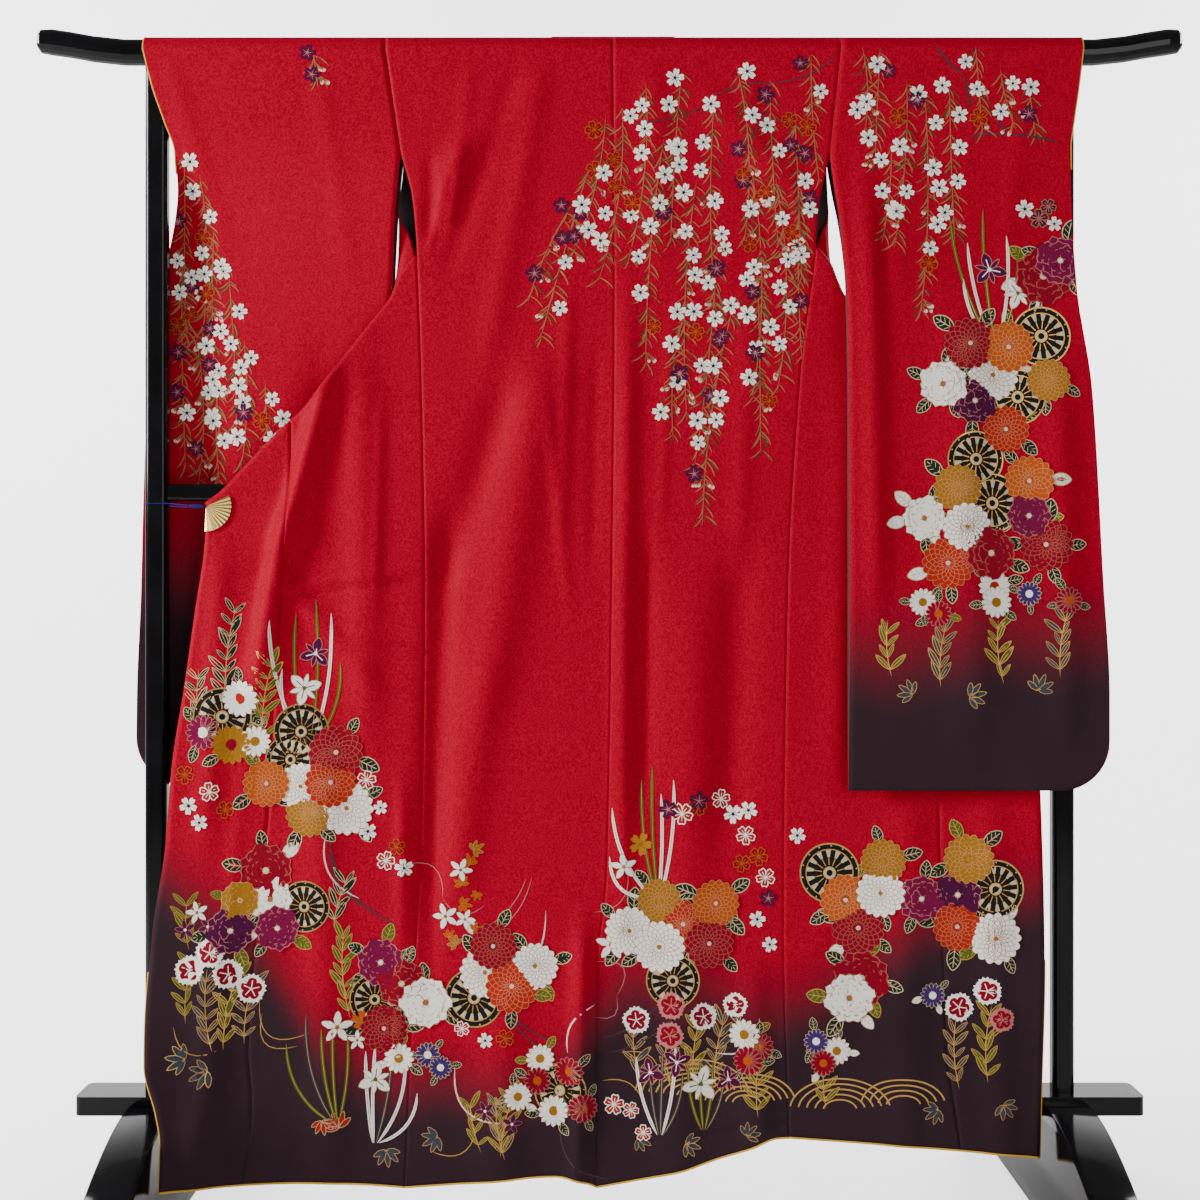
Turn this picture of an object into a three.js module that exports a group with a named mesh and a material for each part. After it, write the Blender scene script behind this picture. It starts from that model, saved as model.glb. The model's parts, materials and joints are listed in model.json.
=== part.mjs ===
// A furisode, hung with its back to the viewer over the top rail of a kimono stand.
// Millimetres. X is to the viewer's right, Y away from the viewer, Z up. The origin is on the floor
// under the middle of the stand.
import * as THREE from "three";

// Driving dimensions of the cloth
const WALL = 2;
const COLLAR_WALL = 2.6;
const COLLAR_LIFT = 1.7;
const SEAM = 0.3;
const RAIL_Z = 1698;
const WRAP_DEPTH = 19;
const WRAP_RISE = 21;
const WRAP_ROWS = 3;
const WRAP_LENGTH = (Math.PI / 2) * (WRAP_DEPTH + WRAP_RISE) / 2;
const ARMHOLE_Z = 1550;
const BACK_ROWS = 27;
const SHOWN_ROWS = 22;
const TURN_RADIUS = 6;
const TURN_ROWS = 4;
const REAR_ROWS = 14;
const COLLAR_WIDTH = 55;
const FRONT_WIDTH = 330;
const NECK_LEFT = -85;
const NECK_RIGHT = 95;
const SLEEVE_BOTTOM = 627;
const SLEEVE_CORNER = 70;
const OUTWARD_CROWDING = 1.5;
const OKUMI_TIP = 0.8;
const OKUMI_REAR_ROWS = 10;
const NECK_ROWS = 6;
// Below the rail the folds come in over this height, and they fade out over the other at the sleeve's foot
const SHOULDER_CALM = 160;
const SLEEVE_CALM = 200;
const SLEEVE_CALM_FROM = 600;
// The fold along the top of an open front bulges outward and upward by these parts of its radius
const TURN_OUTWARD = 0.6;
const TURN_UPWARD = 0.8;
// The collar turns level with the rail over this drop
const COLLAR_CORNER = 220;

// Driving dimensions of the stand
const RAIL_HALF_LENGTH = 834;
const RAIL_STRAIGHT = 704;
const RAIL_END_RISE = 16;
const RAIL_HALF_HEIGHT = 19;
const RAIL_HALF_DEPTH = 17;
const RAIL_END_ROUND = 14;
const RAIL_END_SIZE = 0.55;
const POST_X = 660;
const POST_WIDTH = 32;
const POST_DEPTH = 30;
const BOARD_BOTTOM = 157;
const BOARD_TOP = 184;
const BOARD_HALF_DEPTH = 39;
const BOARD_HALF_LENGTH = 770;
const RUNNER_WIDTH = 66;
const MID_RAIL_BOTTOM = 1043;
const MID_RAIL_TOP = 1068;
const MID_RAIL_DEPTH = 22;
const CORNER_STEPS = 4;
const FIT = 0.3;

// Driving dimensions of the clips and ties
const FAN_RADIUS = 36;
const FAN_HUB = 1.5;
const FAN_RIBS = 12;
const FAN_LIFT = 1.8;
const FAN_WALL = 1.2;
const FAN_PLEAT = 0.8;
const TIE_RADIUS = 0.75;
const TIE_Z = 1039;
const TIE_CLEAR = 0.4;
const KNOT_LENGTH = 26;
const KNOT_DEPTH = 4.4;
const KNOT_HEIGHT = 6;

const RED_SILK = { color: 0xb3101f, roughness: 0.6, metalness: 0 };
const LACQUER = { color: 0x08080a, roughness: 0.15, metalness: 0 };
const GOLD = { color: 0xd8a83c, roughness: 0.25, metalness: 1 };
const BLUE_CORD = { color: 0x2a2a8c, roughness: 0.7, metalness: 0 };

// Seams of the back, a row for each height
const CENTRE_SEAM = [
  { z: 60, x: -20 },
  { z: 365, x: -18 },
  { z: 500, x: -4.5 },
  { z: 865, x: 2.5 },
  { z: 1350, x: 7 },
  { z: RAIL_Z, x: 5 },
];
const LEFT_SIDE = [
  { z: 60, x: -293 },
  { z: 310, x: -283 },
  { z: 582, x: -271 },
  { z: 912, x: -267 },
  { z: 1122, x: -270 },
  { z: 1415, x: -280 },
  { z: 1482, x: -286 },
  { z: ARMHOLE_Z, x: -303 },
  { z: RAIL_Z, x: -325 },
];
const RIGHT_SIDE = [
  { z: 130, x: 257 },
  { z: 415, x: 250 },
  { z: 899, x: 257 },
  { z: 1236, x: 277 },
  { z: 1400, x: 298 },
  { z: 1462, x: 302 },
  { z: ARMHOLE_Z, x: 319 },
  { z: RAIL_Z, x: 335 },
];
const LEFT_HEM = [
  { x: -293, z: 60 },
  { x: -190, z: 67 },
  { x: -80, z: 75 },
  { x: -35, z: 67 },
  { x: -18, z: 60 },
];
const RIGHT_HEM = [
  { x: -20, z: 60 },
  { x: 37, z: 70 },
  { x: 98, z: 82 },
  { x: 157, z: 101 },
  { x: 197, z: 113 },
  { x: 237, z: 129 },
  { x: 257, z: 130 },
];

// How far before the middle of the stand the cloth hangs, and how the open fronts lean forward
const HANG = [
  { z: 60, depth: 52 },
  { z: 170, depth: 47 },
  { z: 600, depth: 35 },
  { z: 1055, depth: 25 },
  { z: 1400, depth: 21 },
  { z: 1550, depth: 20 },
  { z: RAIL_Z, depth: 19 },
];
const LEFT_LEAN = [
  { z: 80, lean: 114 },
  { z: 175, lean: 93 },
  { z: 247, lean: 70 },
  { z: 331, lean: 47 },
  { z: 418, lean: 26 },
  { z: 541, lean: 14 },
  { z: 774, lean: 9 },
  { z: 1100, lean: 9 },
];
const RIGHT_LEAN = [
  { z: 80, lean: 14 },
  { z: 1100, lean: 9 },
];
const LEAN_POWER = 2.2;

// Soft folds: each runs from one end to the other, and rise is how far it comes forward
const BACK_FOLDS = [
  { x0: -149, z0: 1206, x1: -236, z1: 935, width: 26, rise: -8 },
  { x0: -236, z0: 1000, x1: -262, z1: 430, width: 22, rise: -11 },
  { x0: -100, z0: 1230, x1: -176, z1: 770, width: 38, rise: 12 },
  { x0: -176, z0: 800, x1: -222, z1: 480, width: 30, rise: 9 },
  { x0: 26, z0: 1300, x1: 18, z1: 480, width: 16, rise: 8 },
  { x0: 50, z0: 980, x1: 44, z1: 620, width: 20, rise: -7 },
  { x0: 190, z0: 960, x1: 172, z1: 560, width: 28, rise: -8 },
  { x0: 120, z0: 900, x1: 110, z1: 300, width: 34, rise: 7 },
  { x0: -110, z0: 1650, x1: -255, z1: 1500, width: 26, rise: 5 },
  { x0: -215, z0: 1560, x1: -238, z1: 1440, width: 14, rise: 6 },
  { x0: -258, z0: 1540, x1: -262, z1: 1430, width: 10, rise: -4 },
  { x0: 130, z0: 1650, x1: 270, z1: 1490, width: 26, rise: 5 },
  { x0: -40, z0: 420, x1: -46, z1: 60, width: 14, rise: 12 },
  { x0: -150, z0: 330, x1: -160, z1: 60, width: 34, rise: 9 },
  { x0: 100, z0: 330, x1: 96, z1: 80, width: 30, rise: 8 },
  { x0: 205, z0: 360, x1: 215, z1: 110, width: 22, rise: 8 },
];
const LEFT_FRONT_FOLDS = [
  { x0: -398, z0: 1250, x1: -468, z1: 990, width: 24, rise: 14 },
  { x0: -468, z0: 1010, x1: -510, z1: 760, width: 22, rise: 13 },
  { x0: -360, z0: 1260, x1: -350, z1: 700, width: 26, rise: 7 },
  { x0: -420, z0: 700, x1: -400, z1: 90, width: 30, rise: 8 },
  { x0: -560, z0: 960, x1: -580, z1: 560, width: 18, rise: 6 },
  { x0: -560, z0: 420, x1: -575, z1: 85, width: 22, rise: 9 },
];
const RIGHT_FRONT_FOLDS = [
  { x0: 350, z0: 1240, x1: 330, z1: 700, width: 22, rise: 6 },
  { x0: 430, z0: 640, x1: 420, z1: 120, width: 30, rise: 7 },
  { x0: 545, z0: 620, x1: 560, z1: 110, width: 24, rise: 7 },
];
const LEFT_SLEEVE_FOLDS = [
  { x0: -420, z0: 1250, x1: -400, z1: 640, width: 30, rise: -6 },
  { x0: -590, z0: 1150, x1: -610, z1: 640, width: 30, rise: -7 },
];
const RIGHT_SLEEVE_FOLDS = [
  { x0: 372, z0: 1480, x1: 378, z1: 900, width: 14, rise: 9 },
  { x0: 500, z0: 1300, x1: 520, z1: 640, width: 34, rise: 8 },
  { x0: 640, z0: 1200, x1: 650, z1: 660, width: 26, rise: 8 },
];

// The open front panels: front edge of the part that shows, the fold along its top, and the part
// behind it, which goes up to the shoulder behind the rail
const LEFT_FRONT = {
  side: LEFT_SIDE,
  hemSide: 60,
  hemCorner: 88,
  clip: { x: -581, z: 1034 },
  edge: [
    { z: 80, x: -618 },
    { z: 150, x: -620 },
    { z: 185, x: -628 },
    { z: 247, x: -650 },
    { z: 331, x: -654 },
    { z: 418, x: -652 },
    { z: 541, x: -637 },
    { z: 659, x: -629 },
    { z: 774, x: -612 },
    { z: 882, x: -597 },
    { z: 985, x: -583 },
    { z: 1034, x: -581 },
  ],
  rear: [
    { t: 0, xSide: -279, zSide: 1395, ySide: -9, xFront: -581, zFront: 1034, yFront: -22 },
    { t: 0.25, xSide: -292, zSide: 1432, ySide: -4, xFront: -400, zFront: 1090, yFront: -17 },
    { t: 0.45, xSide: -308, zSide: 1468, ySide: 4, xFront: -290, zFront: 1200, yFront: -6 },
    { t: 0.6, xSide: -303, zSide: 1550, ySide: 22, xFront: -200, zFront: 1340, yFront: 7 },
    { t: 0.8, xSide: -316, zSide: 1630, ySide: 20, xFront: -125, zFront: 1540, yFront: 15 },
    { t: 1, xSide: -325, zSide: RAIL_Z, ySide: 19, xFront: NECK_LEFT, zFront: RAIL_Z, yFront: 19 },
  ],
};
const RIGHT_FRONT = {
  side: RIGHT_SIDE,
  hemSide: 130,
  hemCorner: 106,
  clip: { x: 586, z: 1034 },
  edge: [
    { z: 100, x: 612 },
    { z: 180, x: 615 },
    { z: 400, x: 622 },
    { z: 700, x: 615 },
    { z: 1034, x: 586 },
  ],
  rear: [
    { t: 0, xSide: 298, zSide: 1407, ySide: -9, xFront: 586, zFront: 1034, yFront: -22 },
    { t: 0.25, xSide: 309, zSide: 1436, ySide: -4, xFront: 410, zFront: 1090, yFront: -17 },
    { t: 0.45, xSide: 320, zSide: 1468, ySide: 8, xFront: 300, zFront: 1200, yFront: -6 },
    { t: 0.6, xSide: 319, zSide: 1550, ySide: 20, xFront: 210, zFront: 1340, yFront: 7 },
    { t: 0.8, xSide: 328, zSide: 1630, ySide: 19.5, xFront: 135, zFront: 1540, yFront: 15 },
    { t: 1, xSide: 335, zSide: RAIL_Z, ySide: 19, xFront: NECK_RIGHT, zFront: RAIL_Z, yFront: 19 },
  ],
};
const FOLD_BOW = [
  { u: 0, dz: 0 },
  { u: 0.06, dz: 0 },
  { u: 0.1, dz: -13 },
  { u: 0.13, dz: -21 },
  { u: 0.22, dz: -22 },
  { u: 0.36, dz: -28 },
  { u: 0.5, dz: -33 },
  { u: 0.64, dz: -22 },
  { u: 0.78, dz: -16 },
  { u: 0.91, dz: -11 },
  { u: 1, dz: 0 },
];
const OKUMI_SEAM = [
  { v: 0, u: 0.69 },
  { v: 0.15, u: 0.63 },
  { v: 0.5, u: 0.6 },
  { v: 1, u: 0.6 },
];

// The sleeves: inner and outer edge, and where the halves before and behind hang there
const LEFT_SLEEVE = [
  { z: 600, xIn: -322, xOut: -697, backIn: 23, backOut: 23, frontIn: 25.3, frontOut: 25.3 },
  { z: 627, xIn: -322, xOut: -697, backIn: 23, backOut: 23, frontIn: 25.3, frontOut: 25.3 },
  { z: 760, xIn: -322, xOut: -696, backIn: 23, backOut: 23, frontIn: 38, frontOut: 25.3 },
  { z: 900, xIn: -322, xOut: -690, backIn: 21, backOut: 22, frontIn: 42, frontOut: 24.3 },
  { z: 1068, xIn: -321, xOut: -685, backIn: 16, backOut: 20, frontIn: 42, frontOut: 22.3 },
  { z: 1300, xIn: -319, xOut: -674, backIn: -1, backOut: 20, frontIn: 36, frontOut: 22.3 },
  { z: 1380, xIn: -316, xOut: -655, backIn: -6, backOut: 20, frontIn: 32, frontOut: 22.3 },
  { z: 1465, xIn: -311, xOut: -637, backIn: -13, backOut: 17, frontIn: 27, frontOut: 19.3 },
  { z: 1510, xIn: -307, xOut: -632, backIn: -17, backOut: 6, frontIn: 24, frontOut: 20 },
  { z: 1550, xIn: -303, xOut: -632, backIn: -20, backOut: -8, frontIn: 22, frontOut: 21 },
  { z: 1594, xIn: -310, xOut: -645, backIn: -19.7, backOut: -18.5, frontIn: 21, frontOut: 21 },
  { z: 1640, xIn: -318, xOut: -661, backIn: -19.3, backOut: -19.2, frontIn: 20, frontOut: 20 },
  { z: RAIL_Z, xIn: -325, xOut: -676, backIn: -19, backOut: -19, frontIn: 19, frontOut: 19 },
];
const RIGHT_SLEEVE = [
  { z: 600, xIn: 340, xOut: 713, rearOut: 713, backIn: -61, backOut: -60, frontIn: -58.7, frontOut: -57.7 },
  { z: 630, xIn: 340, xOut: 713, rearOut: 713, backIn: -61, backOut: -60, frontIn: -58.7, frontOut: -57.7 },
  { z: 760, xIn: 340, xOut: 713, rearOut: 713, backIn: -72, backOut: -60, frontIn: -55, frontOut: -57.7 },
  { z: 930, xIn: 340, xOut: 704, rearOut: 704, backIn: -74, backOut: -59, frontIn: -54, frontOut: -56.7 },
  { z: 1200, xIn: 340, xOut: 689, rearOut: 689, backIn: -64, backOut: -56, frontIn: -50, frontOut: -53.7 },
  { z: 1350, xIn: 338, xOut: 669, rearOut: 669, backIn: -53, backOut: -48, frontIn: -42, frontOut: -45.7 },
  { z: 1400, xIn: 335, xOut: 667, rearOut: 667, backIn: -43, backOut: -41, frontIn: -32, frontOut: -38.7 },
  { z: 1450, xIn: 331, xOut: 666, rearOut: 666, backIn: -33, backOut: -34, frontIn: -10, frontOut: -31.7 },
  { z: 1500, xIn: 324, xOut: 666, rearOut: 641, backIn: -24, backOut: -29, frontIn: 9, frontOut: -21 },
  { z: 1550, xIn: 319, xOut: 666, rearOut: 640, backIn: -20, backOut: -25, frontIn: 20, frontOut: -7 },
  { z: 1594, xIn: 325, xOut: 672, rearOut: 640, backIn: -19.7, backOut: -21, frontIn: 19.8, frontOut: 9 },
  { z: 1640, xIn: 330, xOut: 679, rearOut: 640, backIn: -19.3, backOut: -19.5, frontIn: 19.4, frontOut: 19 },
  { z: RAIL_Z, xIn: 335, xOut: 686, rearOut: 684, backIn: -19, backOut: -19, frontIn: 19, frontOut: 19 },
];

// Half of a runner's side view, from the middle of its top to its flat foot
const RUNNER_TOP = [
  { y: BOARD_HALF_DEPTH + FIT, z: 170 },
  { y: 90, z: 166 },
  { y: 140, z: 156 },
  { y: 200, z: 137 },
  { y: 264, z: 110 },
  { y: 300, z: 82 },
  { y: 317, z: 50 },
  { y: 318, z: 24 },
  { y: 310, z: 0 },
];

// Slopes that keep a smooth curve between the rows of a table from overshooting them
function slopeAt(xs, ys, i) {
  if (i === 0 || i === xs.length - 1) {
    return 0;
  }
  const before = (ys[i] - ys[i - 1]) / (xs[i] - xs[i - 1]);
  const after = (ys[i + 1] - ys[i]) / (xs[i + 1] - xs[i]);
  if (before * after <= 0) {
    return 0;
  }
  return (2 * before * after) / (before + after);
}

// The value of a column between the rows of a table, whose key column rises
function read(rows, key, column, at) {
  const xs = rows.map((row) => row[key]);
  const ys = rows.map((row) => row[column]);
  const last = xs.length - 1;
  if (at <= xs[0]) {
    return ys[0];
  }
  if (at >= xs[last]) {
    return ys[last];
  }
  const i = xs.findIndex((x) => x > at) - 1;
  const span = xs[i + 1] - xs[i];
  const s = (at - xs[i]) / span;
  const chord = (ys[i + 1] - ys[i]) / span;
  const start = i === 0 ? chord : slopeAt(xs, ys, i);
  const end = i + 1 === last ? chord : slopeAt(xs, ys, i + 1);
  const a = (1 + 2 * s) * (1 - s) ** 2 * ys[i];
  const b = s * (1 - s) ** 2 * span * start;
  const c = s ** 2 * (3 - 2 * s) * ys[i + 1];
  const d = s ** 2 * (s - 1) * span * end;
  return a + b + c + d;
}

function mix(a, b, t) {
  return a + (b - a) * t;
}

function smooth(t) {
  const s = Math.min(Math.max(t, 0), 1);
  return s * s * (3 - 2 * s);
}

// How far the soft folds lift the cloth at a place
function folds(table, x, z) {
  return table.reduce((sum, fold) => {
    const dx = fold.x1 - fold.x0;
    const dz = fold.z1 - fold.z0;
    const length = Math.hypot(dx, dz);
    const s = ((x - fold.x0) * dx + (z - fold.z0) * dz) / (length * length);
    const off = ((x - fold.x0) * dz - (z - fold.z0) * dx) / length;
    const along = smooth(s * 3 + 0.5) * smooth((1 - s) * 3 + 0.5);
    return sum + fold.rise * along * Math.exp(-((off / fold.width) ** 2));
  }, 0);
}

// A side seam of the back, which goes on as a straight armhole up to the shoulder
function sideX(side, z) {
  const shoulder = side[side.length - 1].x;
  if (z > ARMHOLE_Z) {
    return mix(side[side.length - 2].x, shoulder, Math.min((z - ARMHOLE_Z) / (RAIL_Z - ARMHOLE_Z), 1));
  }
  return read(side, "z", "x", z);
}

// The part of the way across an open front, from its side seam to its front edge
function acrossFront(front, x, z) {
  const seam = sideX(front.side, z);
  const edge = read(front.edge, "z", "x", z);
  return Math.max((x - seam) / (edge - seam), 0);
}

// Depth of the back and of the open fronts before the middle of the stand
function hang(x, z) {
  const calm = smooth((RAIL_Z - z) / SHOULDER_CALM);
  const left = acrossFront(LEFT_FRONT, x, z);
  const right = acrossFront(RIGHT_FRONT, x, z);
  const leftLean = read(LEFT_LEAN, "z", "lean", z) * left ** LEAN_POWER;
  const rightLean = read(RIGHT_LEAN, "z", "lean", z) * right ** LEAN_POWER;
  const lift = folds(BACK_FOLDS, x, z) + folds(LEFT_FRONT_FOLDS, x, z) + folds(RIGHT_FRONT_FOLDS, x, z);
  return read(HANG, "z", "depth", z) + leftLean + rightLean + calm * lift;
}

// A place on the cloth over the rail, drop being the way down from the top of the rail
function beforeRail(x, drop, lift = 0) {
  const angle = (Math.PI / 2) * (1 - drop / WRAP_LENGTH);
  const y = -(WRAP_DEPTH + lift) * Math.cos(angle);
  return new THREE.Vector3(x, y, RAIL_Z + (WRAP_RISE + lift) * Math.sin(angle));
}

function behindRail(x, drop, y, lift = 0) {
  if (drop >= WRAP_LENGTH) {
    return new THREE.Vector3(x, y + lift, RAIL_Z - (drop - WRAP_LENGTH));
  }
  const place = beforeRail(x, drop, lift);
  place.y = -place.y;
  return place;
}

// A closed wall of cloth, whose middle surface is middle(u, v) for u and v from 0 to 1
function wall(middle, columns, rows, thickness) {
  const geometry = new THREE.BoxGeometry(1, 1, 1, columns, rows, 1);
  const place = geometry.attributes.position;
  const step = 1e-3;
  for (let i = 0; i < place.count; i += 1) {
    const u = place.getX(i) + 0.5;
    const v = place.getY(i) + 0.5;
    const u0 = Math.max(u - step, 0);
    const u1 = Math.min(u + step, 1);
    const v0 = Math.max(v - step, 0);
    const v1 = Math.min(v + step, 1);
    const acrossWay = middle(u1, v).sub(middle(u0, v));
    const upWay = middle(u, v1).sub(middle(u, v0));
    const normal = acrossWay.cross(upWay).normalize();
    const point = middle(u, v).addScaledVector(normal, place.getZ(i) * thickness);
    place.setXYZ(i, point.x, point.y, point.z);
  }
  geometry.computeVertexNormals();
  return geometry;
}

function named(name, geometry, finish) {
  const mesh = new THREE.Mesh(geometry, new THREE.MeshStandardMaterial(finish));
  mesh.name = name;
  return mesh;
}

// Back panels, from the hem to the top of the rail
function backPanel(name, leftEdge, rightEdge, hem) {
  const rows = BACK_ROWS + WRAP_ROWS;
  const hung = BACK_ROWS / rows;
  const edgeX = (edge, z) => (edge === CENTRE_SEAM ? read(edge, "z", "x", z) : sideX(edge, z));
  const middle = (u, v) => {
    const across = (z) => mix(edgeX(leftEdge, z) + SEAM / 2, edgeX(rightEdge, z) - SEAM / 2, u);
    if (v > hung) {
      return beforeRail(across(RAIL_Z), WRAP_LENGTH * (1 - (v - hung) / (1 - hung)));
    }
    const z = mix(read(hem, "x", "z", across(hem[0].z)), RAIL_Z, v / hung);
    const x = across(z);
    return new THREE.Vector3(x, -hang(x, z), z);
  };
  return named(name, wall(middle, 10, rows, WALL), RED_SILK);
}

// An open front: up the part that shows, round its top fold, and up behind to the shoulder.
// u goes from the side seam to the front edge
const FRONT_ROWS = SHOWN_ROWS + TURN_ROWS + REAR_ROWS + WRAP_ROWS;
const SHOWN_END = SHOWN_ROWS / FRONT_ROWS;
const TURN_END = (SHOWN_ROWS + TURN_ROWS) / FRONT_ROWS;
const SEAM_SHARE = (0.85 * SEAM) / FRONT_WIDTH;
const REAR_END = (SHOWN_ROWS + TURN_ROWS + REAR_ROWS) / FRONT_ROWS;

function shownPoint(front, u, t) {
  const zSide = mix(front.hemSide, RAIL_Z, (t * SHOWN_ROWS) / BACK_ROWS);
  const zEdge = mix(front.hemCorner, front.clip.z, t);
  const x = mix(sideX(front.side, zSide), read(front.edge, "z", "x", zEdge), u);
  const z = mix(zSide, zEdge, u) + t * t * read(FOLD_BOW, "u", "dz", u);
  return new THREE.Vector3(x, -hang(x, z), z);
}

function frontPoint(front, u, v) {
  const outward = Math.sign(front.clip.x);
  if (v <= SHOWN_END) {
    return shownPoint(front, u, v / SHOWN_END);
  }
  const top = shownPoint(front, u, 1);
  if (v <= TURN_END) {
    const angle = Math.PI * (v - SHOWN_END) / (TURN_END - SHOWN_END);
    top.x += outward * TURN_RADIUS * TURN_OUTWARD * Math.sin(angle);
    top.z += TURN_RADIUS * TURN_UPWARD * Math.sin(angle);
    top.y += TURN_RADIUS * (1 - Math.cos(angle));
    return top;
  }
  const t = Math.min((v - TURN_END) / (REAR_END - TURN_END), 1);
  const fromTop = (1 - t) ** 2;
  const zSide = read(front.rear, "t", "zSide", t);
  const freeX = read(front.rear, "t", "xSide", t);
  const xSide = zSide >= ARMHOLE_Z ? sideX(front.side, zSide) : freeX;
  const x = mix(xSide, read(front.rear, "t", "xFront", t), u);
  const z = mix(zSide, read(front.rear, "t", "zFront", t), u);
  const y = mix(read(front.rear, "t", "ySide", t), read(front.rear, "t", "yFront", t), u);
  const startX = mix(front.rear[0].xSide, front.rear[0].xFront, u);
  const startZ = mix(front.rear[0].zSide, front.rear[0].zFront, u);
  const startY = mix(front.rear[0].ySide, front.rear[0].yFront, u);
  if (v > REAR_END) {
    return behindRail(x, SEAM + (WRAP_LENGTH - SEAM) * (1 - (v - REAR_END) / (1 - REAR_END)), y);
  }
  return new THREE.Vector3(
    x + fromTop * (top.x - startX),
    y + fromTop * (top.y + 2 * TURN_RADIUS - startY),
    z + fromTop * (top.z - startZ),
  );
}

// The seam between a front and its okumi, which narrows to a tip below the neck
function okumiSeam(v) {
  if (v <= SHOWN_END) {
    return read(OKUMI_SEAM, "v", "u", v / SHOWN_END);
  }
  const t = Math.max((v - TURN_END) / (REAR_END - TURN_END), 0);
  return mix(0.6, 1, smooth(t / OKUMI_TIP));
}

function frontPanel(name, front) {
  const outward = Math.sign(front.clip.x);
  const middle = (u, v) => {
    const across = mix(SEAM_SHARE, okumiSeam(v) - SEAM_SHARE, outward > 0 ? u : 1 - u);
    return frontPoint(front, across, v);
  };
  return named(name, wall(middle, 8, FRONT_ROWS, WALL), RED_SILK);
}

function okumi(name, front) {
  const outward = Math.sign(front.clip.x);
  const rows = SHOWN_ROWS + TURN_ROWS + OKUMI_REAR_ROWS;
  const middle = (u, v) => {
    const way = (v * rows) / FRONT_ROWS;
    const across = mix(okumiSeam(way) + SEAM_SHARE, 1, outward > 0 ? u : 1 - u);
    return frontPoint(front, across, way);
  };
  return named(name, wall(middle, 4, rows, WALL), RED_SILK);
}

// The collar: up the left front edge, across behind the neck and down the right front edge
const COLLAR_CLIMB_ROWS = REAR_ROWS + WRAP_ROWS;
const COLLAR_ROWS = 2 * COLLAR_CLIMB_ROWS + NECK_ROWS;

function collarClimb(front, row, w) {
  const inward = -Math.sign(front.clip.x);
  const way = (SHOWN_ROWS + TURN_ROWS + row) / FRONT_ROWS;
  const hungWay = Math.min(way, REAR_END);
  const edge = frontPoint(front, 1, hungWay);
  const near = frontPoint(front, 1, Math.max(hungWay - 0.5 / FRONT_ROWS, TURN_END));
  const far = frontPoint(front, 1, Math.min(hungWay + 0.5 / FRONT_ROWS, REAR_END));
  const climb = new THREE.Vector2(far.x - near.x, far.z - near.z).normalize();
  const up = Math.max(row - REAR_ROWS, 0) / WRAP_ROWS;
  const drop = mix(WRAP_LENGTH + RAIL_Z - edge.z, 2 * SEAM, up);
  const start = edge.x + inward * 1.5 * SEAM;
  const corner = 1 - smooth(drop / COLLAR_CORNER);
  const farX = start + COLLAR_WIDTH * mix(inward * Math.abs(climb.y), inward, corner);
  const farDrop = mix(drop + COLLAR_WIDTH * Math.abs(climb.x), COLLAR_WIDTH, corner);
  return behindRail(mix(start, farX, w), mix(drop, farDrop, w), edge.y, COLLAR_LIFT * smooth(corner * 2));
}

function collar() {
  const middle = (u, v) => {
    const row = v * COLLAR_ROWS;
    if (row <= COLLAR_CLIMB_ROWS) {
      return collarClimb(LEFT_FRONT, row, 1 - u);
    }
    if (row >= COLLAR_ROWS - COLLAR_CLIMB_ROWS) {
      return collarClimb(RIGHT_FRONT, COLLAR_ROWS - row, 1 - u);
    }
    const s = (row - COLLAR_CLIMB_ROWS) / NECK_ROWS;
    const nearX = mix(NECK_LEFT + SEAM, NECK_RIGHT - SEAM, s);
    const farX = mix(NECK_LEFT + SEAM + COLLAR_WIDTH, NECK_RIGHT - SEAM - COLLAR_WIDTH, s);
    return behindRail(mix(farX, nearX, u), mix(COLLAR_WIDTH, 2 * SEAM, u), WRAP_DEPTH, COLLAR_LIFT);
  };
  return named("collar", wall(middle, 5, COLLAR_ROWS, COLLAR_WALL), RED_SILK);
}

// A half of a sleeve, before or behind the rail
function sleeveHalf(name, table, side, half, foldTable) {
  const before = half === "back";
  const rows = 20;
  const hung = 1 - WRAP_ROWS / rows;
  const outward = Math.sign(table[0].xOut);
  const outerColumn = !before && table === RIGHT_SLEEVE ? "rearOut" : "xOut";
  const middle = (u, v) => {
    const q = 1 - (1 - (outward > 0 ? u : 1 - u)) ** OUTWARD_CROWDING;
    const across = (z) => {
      const inner = z >= ARMHOLE_Z ? sideX(side, z) : read(table, "z", "xIn", z);
      return mix(inner + (outward * SEAM) / 2, read(table, "z", outerColumn, z), q);
    };
    if (v > hung) {
      const up = (v - hung) / (1 - hung);
      if (before) {
        return beforeRail(across(RAIL_Z), WRAP_LENGTH * (1 - up));
      }
      return behindRail(across(RAIL_Z), SEAM + (WRAP_LENGTH - SEAM) * (1 - up), WRAP_DEPTH);
    }
    const fromCorner = Math.abs(read(table, "z", "xOut", SLEEVE_BOTTOM)) - Math.abs(across(SLEEVE_BOTTOM));
    const inCorner = Math.max(SLEEVE_CORNER - fromCorner, 0);
    const lift = SLEEVE_CORNER - Math.sqrt(SLEEVE_CORNER ** 2 - inCorner ** 2);
    const z = mix(SLEEVE_BOTTOM + lift, RAIL_Z, v / hung);
    const x = across(z);
    const y = mix(read(table, "z", half + "In", z), read(table, "z", half + "Out", z), q);
    const calm = smooth((z - SLEEVE_CALM_FROM) / SLEEVE_CALM);
    return new THREE.Vector3(x, y - folds(foldTable, x, z) * calm, z);
  };
  return named(name, wall(middle, 10, rows, WALL), RED_SILK);
}

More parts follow.
